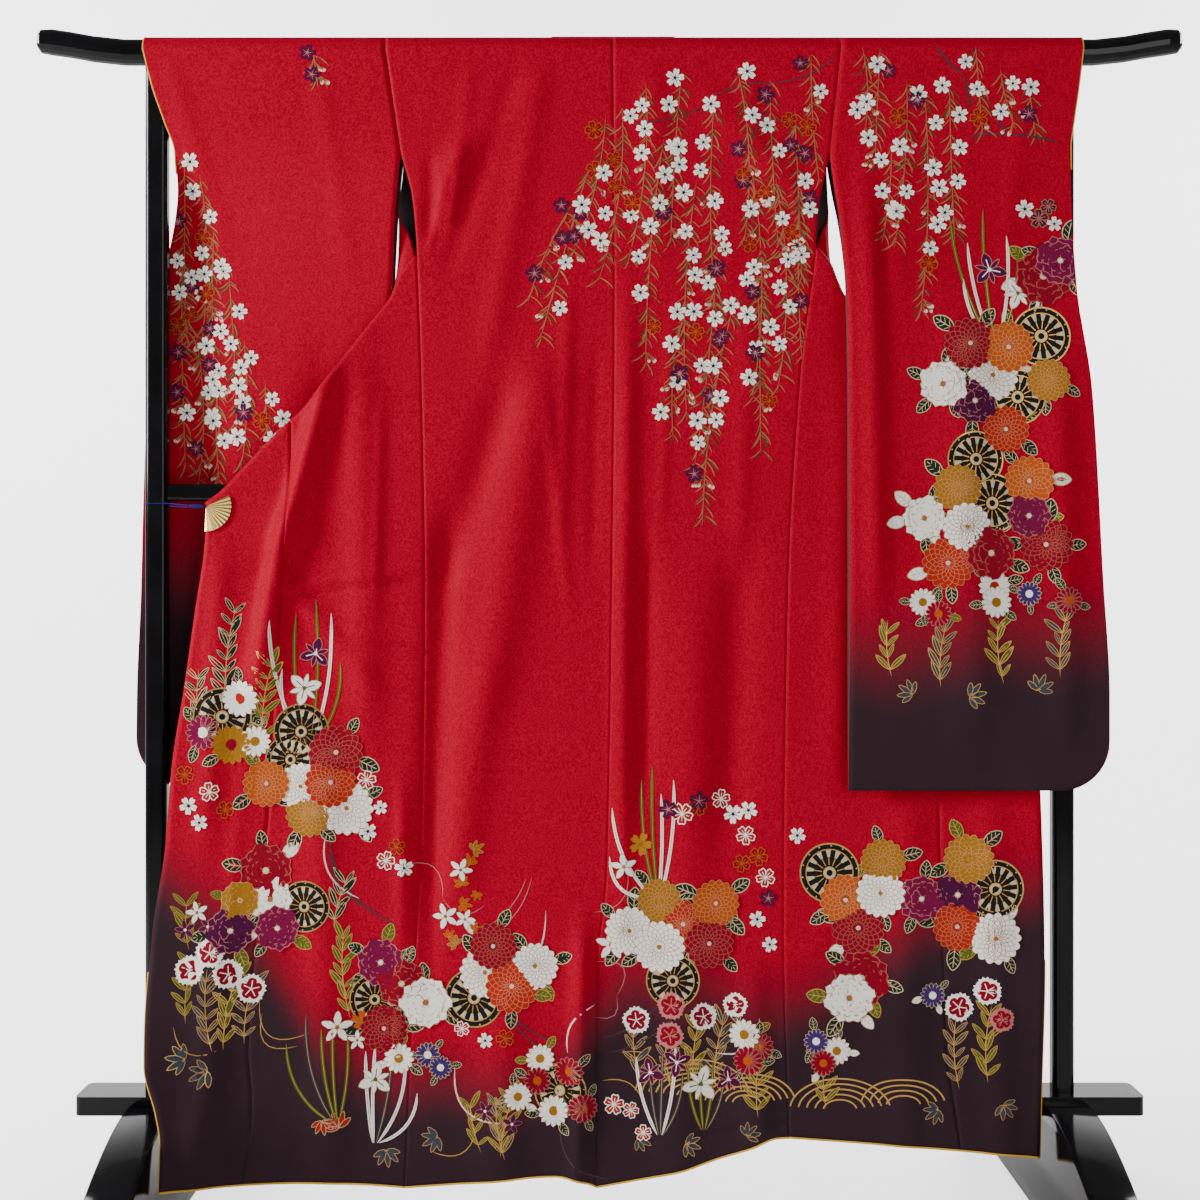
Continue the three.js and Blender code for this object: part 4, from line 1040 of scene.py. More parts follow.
class Painting:
    """Motifs gathered in the plane that faces the viewer, then laid on one side of the cloth.

    facing is -1 for the side towards the viewer and 1 for the side away."""

    def __init__(self, cloth, depth, facing):
        self.cloth = cloth
        self.depth = depth
        self.facing = facing
        self.bm = bmesh.new()

    def add(self, mesh, paints):
        """Takes in a flat mesh; each of its tones gets the paint of that place, a little varied."""
        tones = np.zeros(len(mesh.polygons), np.int32)
        mesh.polygons.foreach_get("material_index", tones)
        shade = random.uniform(0.9, 1.06)
        colours = np.array([(*(c * shade for c in PAINTS[name]), 1.0) for name in paints],
                           np.float32)
        leaf = np.array([name == "gold" for name in paints], np.int32)
        painted = mesh.attributes.new("paint", "FLOAT_COLOR", "FACE")
        painted.data.foreach_set("color", colours[tones].ravel())
        mesh.polygons.foreach_set("material_index", leaf[tones])
        self.bm.from_mesh(mesh)
        bpy.data.meshes.remove(mesh)

    def put(self, kind, x, z, size, turn, paints, lift=0.0):
        """A motif of some size and turn, and how high it lies among the others."""
        mesh = MOTIFS[kind].copy()
        flat = np.zeros(len(mesh.vertices) * 3, np.float32)
        mesh.vertices.foreach_get("co", flat)
        flat = flat.reshape(-1, 3)
        c, s = math.cos(turn), math.sin(turn)
        laid = np.stack([x + size * (c * flat[:, 0] - s * flat[:, 1]),
                         z + size * (s * flat[:, 0] + c * flat[:, 1]), flat[:, 2] + lift], 1)
        mesh.vertices.foreach_set("co", laid.astype(np.float32).ravel())
        self.add(mesh, paints)

    def stroke(self, start, end, width, paint_name, bend=0.0, lift=0.0):
        """A brush line that thins out towards both ends."""
        steps = max(int(math.dist(start, end) / STROKE_STEP), 3)
        layer = bmesh.new()
        ribbon(layer, line(start, end, bend), taper(width), steps, FILL, lift)
        self.add(mesh_from(layer, "stroke"), (paint_name,))

    def finish(self, name, wall):
        """Lays the paint on the cloth and leaves out what falls beside it."""
        missed = []
        places = np.array([vert.co[:] for vert in self.bm.verts])
        depths = self.depth(places[:, 0], places[:, 1])
        for vert, (x, z, lift), depth in zip(self.bm.verts, places, depths):
            hit = None
            for nudge in NUDGES:
                found = self.cloth.ray_cast(Vector(((x + nudge) * MM, self.facing, z * MM)),
                                            Vector((0, -self.facing, 0)))
                if found[0] is not None:
                    hit = found
                    break
            if hit is None or self.facing * (depth * MM - hit[0].y) > REACH_BACK * MM:
                missed.append(vert)
                continue
            normal = hit[1] if hit[1].y * self.facing > 0 else -hit[1]
            vert.co = hit[0] + normal * ((wall / 2 + FIRST_LIFT + lift) * MM)
        bmesh.ops.delete(self.bm, geom=missed, context="VERTS")
        for face in self.bm.faces:
            face.normal_update()
            if face.normal.y * self.facing < 0:
                face.normal_flip()
        obj = link(name, mesh_from(self.bm, name), paint, gold_leaf)
        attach(obj, "root")


def cloth_tree(*names):
    """What the paint of some panels is laid on."""
    bm = bmesh.new()
    for name in names:
        bm.from_mesh(panels[name].data)
    tree = BVHTree.FromBMesh(bm)
    bm.free()
    return tree


def drooping_twig(painting, x, z, length, lean, flowers, lift):
    """A hanging cherry twig with narrow leaves, buds and blossoms along it."""
    sway = random.uniform(-0.05, 0.05)
    way = line((x, z), (x + lean, z - length), sway)
    painting.stroke((x, z), (x + lean, z - length), 1.3, "twig", sway, lift)
    for i in range(max(int(length / TWIG_LEAF_STEP), 3)):
        t = (i + random.random()) * TWIG_LEAF_STEP / length
        if t > 1:
            break
        px, pz = way(t)
        for side in (-1, 1):
            for paints in (TWIG, TWIG_LEAF)[:random.choice((1, 2))]:
                turn = math.pi + side * random.uniform(0.3, 1.0)
                painting.put("willow", px, pz, random.uniform(15, 27), turn, paints, lift + 0.02)
    for i in range(flowers):
        t = (i + random.uniform(0.1, 0.8)) / flowers
        px, pz = way(t * 0.86)
        px += random.choice((-1, 1)) * random.uniform(3, 17)
        paints = random.choices((WHITE_BLOSSOM, PLUM_BLOSSOM, LINE_BLOSSOM), (0.78, 0.13, 0.09))[0]
        kind = "outlined" if paints is LINE_BLOSSOM else "blossom"
        painting.put(kind, px, pz, random.uniform(12.0, 15.0), random.uniform(0, ANY_TURN), paints,
                     lift + 0.12 + 0.05 * (i % 4))
    for i in range(max(flowers // 2, 2)):
        px, pz = way(random.uniform(0.3, 0.97))
        side = random.choice((-1, 1))
        for k in range(random.choice((2, 3))):
            turn = math.pi + side * random.uniform(0.2, 0.9)
            reach = random.uniform(9, 15)
            bx, bz = px + side * random.uniform(3, 9) + k * side * 3, pz - reach * 0.6
            painting.stroke((px, pz), (bx, bz), 0.8, "twig", 0.05 * side, lift + 0.04)
            painting.put("bud", bx, bz, random.uniform(6, 8), turn, BUD, lift + 0.08)


def bouquet(painting, rows):
    """Large flowers that overlap, each row (kind, x, z, radius, paints, leaves behind it)."""
    for i, (kind, x, z, radius, paints, leaves) in enumerate(rows):
        lift = 0.35 if kind == "wheel" else 0.75 + 0.6 * (i % 3)
        first = random.uniform(0, ANY_TURN)
        for k in range(leaves):
            turn = first + 2 * math.pi * k / leaves + random.uniform(-0.3, 0.3)
            reach = radius * 0.78
            paint_set = random.choices((PINE, OLIVE, PALE_LEAF), (0.72, 0.14, 0.14))[0]
            size = random.uniform(0.8, 1.1) * min(radius, LARGEST_LEAF)
            painting.put("leaf", x - reach * math.sin(turn), z + reach * math.cos(turn), size,
                         turn + random.uniform(-0.25, 0.25), paint_set, 0.05 + 0.12 * (k % 3))
        painting.put(kind, x, z, radius, random.uniform(0, ANY_TURN), paints, lift)


def posy(painting, x, z, wide, tall, names):
    """A cluster of flowers, set out on a widening spiral that fills an oval."""
    names = names.split()
    first = random.uniform(0, ANY_TURN)
    rows = []
    for i, name in enumerate(names):
        kind, radius, paints, leaves = FLOWERS[name]
        reach = math.sqrt((i + 0.3) / len(names))
        turn = first + GOLDEN_TURN * i
        rows.append((kind, x + wide * reach * math.cos(turn), z + tall * reach * math.sin(turn),
                     radius * random.uniform(0.9, 1.08), paints, leaves))
    bouquet(painting, rows)


def blades(painting, x, z, rows):
    """Sword leaves from one foot, each row (reach across, height, bend, paint)."""
    for i, (across, height, bend, paint_name) in enumerate(rows):
        foot, tip = (x + across * 0.12, z), (x + across, z + height)
        painting.stroke(foot, tip, 4.6, paint_name, bend, 0.22 + 0.02 * i)
        painting.stroke(foot, tip, 0.8, "gold", bend, 0.4)


def leafy_stem(painting, x, z, height, lean, paints):
    """An upright stem with leaves in pairs."""
    top = (x + lean, z + height)
    painting.stroke((x, z), top, 1.3, "gold", 0.05, 0.1)
    way = line((x, z), top, 0.05)
    for i in range(int(height / STEM_LEAF_STEP)):
        px, pz = way((i + 0.6) * STEM_LEAF_STEP / height)
        for side in (-1, 1):
            size, turn = random.uniform(20, 34), side * random.uniform(0.3, 0.9)
            painting.put("narrow", px, pz, size, turn, paints, 0.06)


def build_camera():
    data = bpy.data.cameras.new("camera")
    data.sensor_width = SENSOR
    data.lens = SENSOR * -CAMERA_PLACE[1] / VIEW_WIDTH
    camera = bpy.data.objects.new("camera", data)
    camera.location = CAMERA_PLACE
    camera.rotation_euler = (math.pi / 2, 0, 0)
    bpy.context.scene.collection.objects.link(camera)
    bpy.context.scene.camera = camera


# The studio: how bright the world lights and how bright it shows, and each lamp's place, target,
# size in metres, watts and colour
WORLD_LIGHT = 0.26
WORLD_SHOWN = 1.8
LAMPS = {
    "key": ((-3.3, -1.25, 1.9), (0, 0, 0.9), (0.6, 1.3), 175, (1, 0.98, 0.96)),
    "fill": ((1.6, -3.4, 1.7), (0, 0, 0.9), (1.6, 2.2), 40, (1, 1, 1)),
    "backdrop_lamp_left": ((-2.6, 0.9, 2.6), (-0.6, 3.4, 0.9), (1.2, 1.2), 110, (1, 1, 1)),
    "backdrop_lamp_right": ((2.6, 0.9, 2.6), (0.6, 3.4, 0.9), (1.2, 1.2), 110, (1, 1, 1)),
}

# The backdrop in metres: a floor that starts before the camera, a quarter bend and a wall
BACKDROP_HALF_WIDTH = 7
BACKDROP_LENGTH = 12
FLOOR_START = -4.5
FLOOR_LENGTH = 6.5
BEND_LENGTH = 1.6
BACKDROP_TONE = (0.92, 0.92, 0.92, 1)
BACKDROP_GLOW = 1.6


def area_lamp(name, place, target, size, power, colour):
    data = bpy.data.lights.new(name, "AREA")
    data.shape = "RECTANGLE"
    data.size, data.size_y = size
    data.energy = power
    data.color = colour
    lamp = bpy.data.objects.new(name, data)
    lamp.location = place
    lamp.rotation_euler = (Vector(target) - Vector(place)).to_track_quat("-Z", "Y").to_euler()
    bpy.context.scene.collection.objects.link(lamp)


def build_world():
    """A white world that shows brighter than it lights."""
    world = bpy.data.worlds.new("studio")
    bpy.context.scene.world = world
    world.use_nodes = True
    nodes, links = world.node_tree.nodes, world.node_tree.links
    background = nodes["Background"]
    set_sockets(background, {"Color": (1, 1, 1, 1)})
    seen = nodes.new("ShaderNodeMapRange")
    set_sockets(seen, {"To Min": WORLD_LIGHT, "To Max": WORLD_SHOWN})
    links.new(nodes.new("ShaderNodeLightPath").outputs["Is Camera Ray"], seen.inputs["Value"])
    links.new(seen.outputs["Result"], background.inputs["Strength"])


def backdrop_material():
    """A pale wall that glows to the camera alone and can be looked through from behind."""
    material, nodes, links, bsdf = new_material("pale_backdrop")
    set_sockets(bsdf, {"Base Color": BACKDROP_TONE, "Roughness": 0.9, "Specular IOR Level": 0.0,
                       "Emission Color": (1, 1, 1, 1)})
    glow = nodes.new("ShaderNodeMath")
    glow.operation = "MULTIPLY"
    glow.inputs[1].default_value = BACKDROP_GLOW
    links.new(nodes.new("ShaderNodeLightPath").outputs["Is Camera Ray"], glow.inputs[0])
    links.new(glow.outputs[0], bsdf.inputs["Emission Strength"])
    solid = nodes.new("ShaderNodeMath")
    solid.operation = "SUBTRACT"
    solid.inputs[0].default_value = 1.0
    links.new(nodes.new("ShaderNodeNewGeometry").outputs["Backfacing"], solid.inputs[1])
    links.new(solid.outputs[0], bsdf.inputs["Alpha"])
    return material


def build_backdrop():
    """A floor that turns up into a wall."""
    bm = bmesh.new()
    bmesh.ops.create_grid(bm, x_segments=4, y_segments=40, size=1.0)
    for vert in bm.verts:
        along = (vert.co.y + 1) / 2 * BACKDROP_LENGTH
        flat = min(along, FLOOR_LENGTH)
        bend = min(max(along - FLOOR_LENGTH, 0), BEND_LENGTH) / BEND_LENGTH * math.pi / 2
        rise = max(along - FLOOR_LENGTH - BEND_LENGTH, 0)
        vert.co = (vert.co.x * BACKDROP_HALF_WIDTH, FLOOR_START + flat + math.sin(bend),
                   1 - math.cos(bend) + rise)
    mesh = mesh_from(bm, "backdrop")
    mesh.shade_smooth()
    link("backdrop", mesh, backdrop_material())


# Half of a runner's side view, from the middle of its top to its flat foot, in mm
RUNNER_TOP = ((39.3, 170), (90, 166), (140, 156), (200, 137), (264, 110), (300, 82), (317, 50),
              (318, 24), (310, 0))
RUNNER_NOTCH = 156.7
RUNNER_WIDTH = 66
RUNNER_EDGE = 2.5
RUNNER_STEPS = 72
POST_X = 660


def through(points, count):
    """Places on the smooth curve through some points."""
    places = []
    last = len(points) - 1
    for i in range(count):
        t = i / (count - 1) * last
        k = min(int(t), last - 1)
        before, start, end, after = (np.array(points[min(max(k + d, 0), last)], float)
                                     for d in (-1, 0, 1, 2))
        t -= k
        bend = 2 * before - 5 * start + 4 * end - after
        twist = 3 * start - before - 3 * end + after
        place = 0.5 * (2 * start + (end - before) * t + bend * t ** 2 + twist * t ** 3)
        places.append(tuple(place))
    return places


def runner(name, x):
    """A foot of the stand: its side view, extruded, with softened edges."""
    half = through(RUNNER_TOP, RUNNER_STEPS)
    outline = [(half[0][0], RUNNER_NOTCH), *half, *((-y, z) for y, z in reversed(half)),
               (-half[0][0], RUNNER_NOTCH)]
    bm = bmesh.new()
    disc = bmesh.ops.create_circle(bm, cap_ends=True, segments=len(outline), radius=1.0)
    for vert, (y, z) in zip(disc["verts"], outline):
        vert.co = Vector((x - RUNNER_WIDTH / 2, y, z)) * MM
    grown = bmesh.ops.extrude_face_region(bm, geom=bm.faces[:])["geom"]
    bmesh.ops.translate(bm, vec=(RUNNER_WIDTH * MM, 0, 0),
                        verts=[g for g in grown if isinstance(g, bmesh.types.BMVert)])
    bmesh.ops.recalc_face_normals(bm, faces=bm.faces[:])
    rims = [edge for edge in bm.edges if edge.calc_face_angle(0) > 1.0]
    bmesh.ops.bevel(bm, geom=rims, offset=RUNNER_EDGE * MM, segments=3, profile=0.5,
                    affect="EDGES", material=-1)
    mesh = mesh_from(bm, name)
    mesh.polygons.foreach_set("use_smooth", [len(face.vertices) < 8 for face in mesh.polygons])
    mesh.set_sharp_from_angle(angle=math.radians(40))
    obj = link(f"{name}_lacquered", mesh, lacquer)
    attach(obj, "root")
    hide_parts(name)


def dress_cad():
    """Finishes for the nodes that stay as they are."""
    finishes = {"lacquer": lacquer, "gold_metal": fan_gold, "blue_cord": cord_cloth}
    slots = {part["node"]: part["material_slot"] for part in frame["record"]["subparts"]}
    for node, obj in frame["nodes"].items():
        if slots[node] in finishes:
            obj.data.materials.clear()
            obj.data.materials.append(finishes[slots[node]])


build_camera()
build_world()
for name, lamp in LAMPS.items():
    area_lamp(name, *lamp)
build_backdrop()
dress_cad()
runner("runner_left", -POST_X)
runner("runner_right", POST_X)

# Middle surface, columns and rows of each panel, the side its outer face looks to, wall and dye
LEFT_CUT = (LEFT_SLEEVE, LEFT_SIDE, LEFT_SLEEVE_FOLDS)
RIGHT_CUT = (RIGHT_SLEEVE, RIGHT_SIDE, RIGHT_SLEEVE_FOLDS)
PANELS = {
    "back_left": (back_panel(LEFT_SIDE, CENTRE_SEAM, LEFT_HEM), 64, 400, 1, SILK_WALL, body_dye),
    "back_right": (back_panel(CENTRE_SEAM, RIGHT_SIDE, RIGHT_HEM), 64, 400, 1, SILK_WALL, body_dye),
    "front_left": (front_panel(LEFT_FRONT), 44, 380, 1, SILK_WALL, body_dye),
    "front_right": (front_panel(RIGHT_FRONT), 40, 300, 1, SILK_WALL, body_dye),
    "okumi_left": (okumi(LEFT_FRONT), 18, 250, 1, SILK_WALL, body_dye),
    "okumi_right": (okumi(RIGHT_FRONT), 18, 250, 1, SILK_WALL, body_dye),
    "collar": (collar_middle, 12, 240, 1, COLLAR_WALL, body_dye),
    "sleeve_left_back": (sleeve_half(*LEFT_CUT, "back"), 56, 170, 1, SILK_WALL, sleeve_dye),
    "sleeve_left_front": (sleeve_half(*LEFT_CUT, "front"), 56, 170, -1, SILK_WALL, sleeve_dye),
    "sleeve_right_back": (sleeve_half(*RIGHT_CUT, "back"), 56, 170, 1, SILK_WALL, sleeve_dye),
    "sleeve_right_front": (sleeve_half(*RIGHT_CUT, "front"), 56, 170, -1, SILK_WALL, sleeve_dye),
}
panels = {name: make_sheet(name, *panel) for name, panel in PANELS.items()}

# The width of lone lines of each paint, and the length of twig for each blossom, in mm
LINE_WIDTHS = {"blush": 2.4, "bark": 2.4, "rose_line": 1.3, "gold": 1.3}
TWIG_FLOWER_SPACING = 50


def twigs(painting, rows):
    """Hanging cherry, each row (x, z, length, lean)."""
    for i, (x, z, length, lean) in enumerate(rows):
        flowers = max(round(length / TWIG_FLOWER_SPACING), 2)
        drooping_twig(painting, x, z, length, lean, flowers, 0.02 * (i % 7))


def strokes(painting, rows, lift=0.08, widths=LINE_WIDTHS):
    """Lone lines, each row (start, end, bend, paint)."""
    for start, end, bend, paint_name in rows:
        painting.stroke(start, end, widths[paint_name], paint_name, bend, lift)


def scatter(painting, kind, rows, paints, lift):
    """Single motifs of one kind, each row (x, z, size)."""
    for i, (x, z, size) in enumerate(rows):
        painting.put(kind, x, z, size, random.uniform(0, ANY_TURN), paints, lift + 0.02 * (i % 5))


def posies(painting, rows):
    """Clusters, each row (x, z, half width, half height, flowers)."""
    for row in rows:
        posy(painting, *row)


def leafy_stems(painting, rows):
    """Upright stems, each row (x, z, height, lean, paints)."""
    for row in rows:
        leafy_stem(painting, *row)


def hoops(x, z, radius):
    """The way of one hoop of water, most of a half turn."""
    def way(t):
        turn = math.pi * (0.04 + 0.9 * t)
        return x - radius * math.cos(turn), z + 0.62 * radius * math.sin(turn)

    return way


def waves(painting, rows):
    """Overlapping hoops of water, each row (x, z, radii)."""
    for x, z, radii in rows:
        for i, radius in enumerate(radii):
            layer = bmesh.new()
            ribbon(layer, hoops(x, z, radius), lambda t: 2.2, 22, FILL, 0.04 + 0.01 * i)
            painting.add(mesh_from(layer, "wave"), ("gold",))


def body_depth(x, z):
    """Depth of the back and the open fronts, for paint."""
    return np.where(z > RAIL_Z, 0, -hang_fine(x, z))


def sleeve_face_depth(rows, side, fold_rows, half="back"):
    """Depth of one half of a sleeve, for paint."""
    def depth(x, z):
        inner = np.where(z >= ARMHOLE_Z, side_x(side, z), read(rows, "z", "x_in", z))
        q = np.clip((x - inner) / (read(rows, "z", "x_out", z) - inner), 0, 1)
        return np.where(z > RAIL_Z, 0, sleeve_depth(rows, half, fold_rows, x, z, q))

    return depth


DAISY = ("white", "cream", "ochre", "ochre")
RED_DAISY = ("crimson", "rose_line", "orange", "orange")
VIOLET_DAISY = ("violet", "cream", "white", "white")
MAGENTA_DAISY = ("magenta", "rose_line", "white", "white")
OCHRE_DAISY = ("ochre", "amber", "crimson", "crimson")
ROSETTE = ("white", "white", "scarlet", "scarlet")
IRIS = ("plum", "rose_line", "white", "white")
WHITE_IRIS = ("white", "cream", "olive", "olive")
RED_PINK = ("crimson", "white", "white", "white")
ROSE_PINK = ("crimson", "rose_line", "white", "white")
AUTUMN_MAPLE = ("orange", "amber", "amber", "amber")
RED_BAMBOO = ("scarlet", "cream", "cream", "cream")
ORANGE_BLOSSOM = ("orange", "cream", "cream", "ochre")
AMBER_BLOSSOM = ("amber", "ochre", "ochre", "ochre")

# Flowers of the clusters: motif, radius in mm, paints and the leaves round it
FLOWERS = {
    "wheel": ("wheel", 40, WHEEL, 0),
    "white_mum": ("mum", 37, WHITE, 4),
    "crimson_mum": ("mum", 37, CRIMSON, 4),
    "scarlet_mum": ("mum", 36, SCARLET, 4),
    "orange_mum": ("mum", 35, ORANGE, 4),
    "ochre_mum": ("mum", 35, OCHRE, 4),
    "white_peony": ("peony", 34, WHITE, 5),
    "crimson_peony": ("peony", 38, CRIMSON, 5),
    "magenta_peony": ("peony", 34, MAGENTA, 5),
    "purple_peony": ("peony", 33, PURPLE, 4),
    "ochre_peony": ("peony", 30, OCHRE, 4),
    "white_daisy": ("daisy", 22, DAISY, 3),
    "red_daisy": ("daisy", 21, RED_DAISY, 3),
    "violet_daisy": ("daisy", 19, VIOLET_DAISY, 3),
    "magenta_daisy": ("daisy", 28, MAGENTA_DAISY, 4),
    "ochre_daisy": ("daisy", 27, OCHRE_DAISY, 4),
    "rosette": ("daisy", 26, ROSETTE, 3),
}

# Each painting is a row of steps, a function and what it is given after the painting itself
SHOULDER_STEPS = (
    (twigs, (
        (-28, 1532, 270, -76), (-6, 1600, 210, -52), (18, 1612, 250, -34), (52, 1650, 270, -28),
        (78, 1566, 330, -26), (104, 1664, 250, -16), (126, 1508, 350, -14), (152, 1628, 320, 2),
        (156, 1420, 330, -34), (184, 1672, 260, 10), (204, 1530, 340, 2), (182, 1336, 330, -48),
        (232, 1654, 260, 14), (240, 1508, 310, 2), (214, 1372, 260, 4), (268, 1612, 250, 10),
        (274, 1486, 240, 4), (292, 1690, 190, 12), (-48, 1480, 150, -70), (112, 1330, 200, -20))),
    (strokes, (
        ((330, 1690), (236, 1648), 0.1, "bark"), ((236, 1648), (150, 1628), -0.08, "bark"),
        ((236, 1640), (180, 1540), 0.08, "bark"), ((150, 1620), (40, 1590), 0.06, "bark")),
        0.0, {"bark": 2.0}),
)

LEFT_SLEEVE_STEPS = (
    (twigs, (
        (-618, 1556, 300, 0), (-598, 1520, 280, -6), (-580, 1440, 300, 8), (-560, 1392, 250, 12),
        (-628, 1400, 300, 4), (-536, 1280, 190, -6), (-505, 1222, 140, 10), (-608, 1290, 230, 0),
        (-572, 1240, 170, -2), (-480, 1180, 110, 12), (-430, 1700, 60, 8))),
)

RIGHT_SLEEVE_STEPS = (
    (twigs, (
        (392, 1700, 170, -8), (430, 1652, 250, -22), (456, 1640, 340, -14), (492, 1650, 240, 4),
        (530, 1702, 130, 10), (566, 1668, 90, 22), (366, 1700, 120, 4), (604, 1652, 80, 12),
        (408, 1560, 150, -18))),
    (strokes, (
        ((470, 1708), (512, 1660), -0.06, "bark"), ((512, 1660), (520, 1610), 0.05, "bark"),
        ((520, 1568), (580, 1572), 0.06, "bark"), ((580, 1572), (650, 1560), 0.04, "bark"),
        ((580, 1574), (560, 1612), 0.15, "bark")), 0.0, {"bark": 3.2}),
    (blades, 552, 1262, (
        (-62, 190, 0.06, "olive"), (-38, 150, 0.05, "white"), (-14, 200, 0.03, "olive"),
        (18, 160, -0.04, "white"), (34, 140, -0.05, "olive"), (64, 96, -0.16, "white"),
        (-46, 96, 0.1, "white"))),
    (scatter, "blossom", ((598, 1462, 15), (640, 1440, 12), (648, 1372, 13)), WHITE_BLOSSOM, 0.5),
    (scatter, "outlined", ((618, 1448, 16), (632, 1466, 13)), PLUM_BLOSSOM, 0.5),
    (scatter, "iris", ((544, 1372, 26),), IRIS, 0.6),
    (scatter, "iris", ((584, 1338, 25),), WHITE_IRIS, 0.6),
    (posies, (
        (626, 1376, 26, 40, "crimson_peony magenta_peony"),
        (562, 1216, 92, 88, "white_mum wheel orange_mum purple_peony ochre_mum crimson_mum "
                            "scarlet_mum wheel white_peony"),
        (540, 1022, 118, 86, "wheel white_mum magenta_peony ochre_mum crimson_peony orange_mum "
                             "white_peony crimson_mum wheel scarlet_mum"),
        (460, 892, 52, 16, "white_daisy red_daisy"),
        (590, 902, 84, 22, "violet_daisy white_daisy red_daisy rosette"))),
    (leafy_stems, (
        (640, 790, 90, 10, SLATE), (560, 780, 90, -8, OLIVE), (470, 775, 90, 8, SLATE),
        (400, 790, 80, -6, OLIVE))),
    (scatter, "sasa", ((610, 770, 26), (510, 762, 26), (430, 765, 24)), SLATE, 0.1),
)

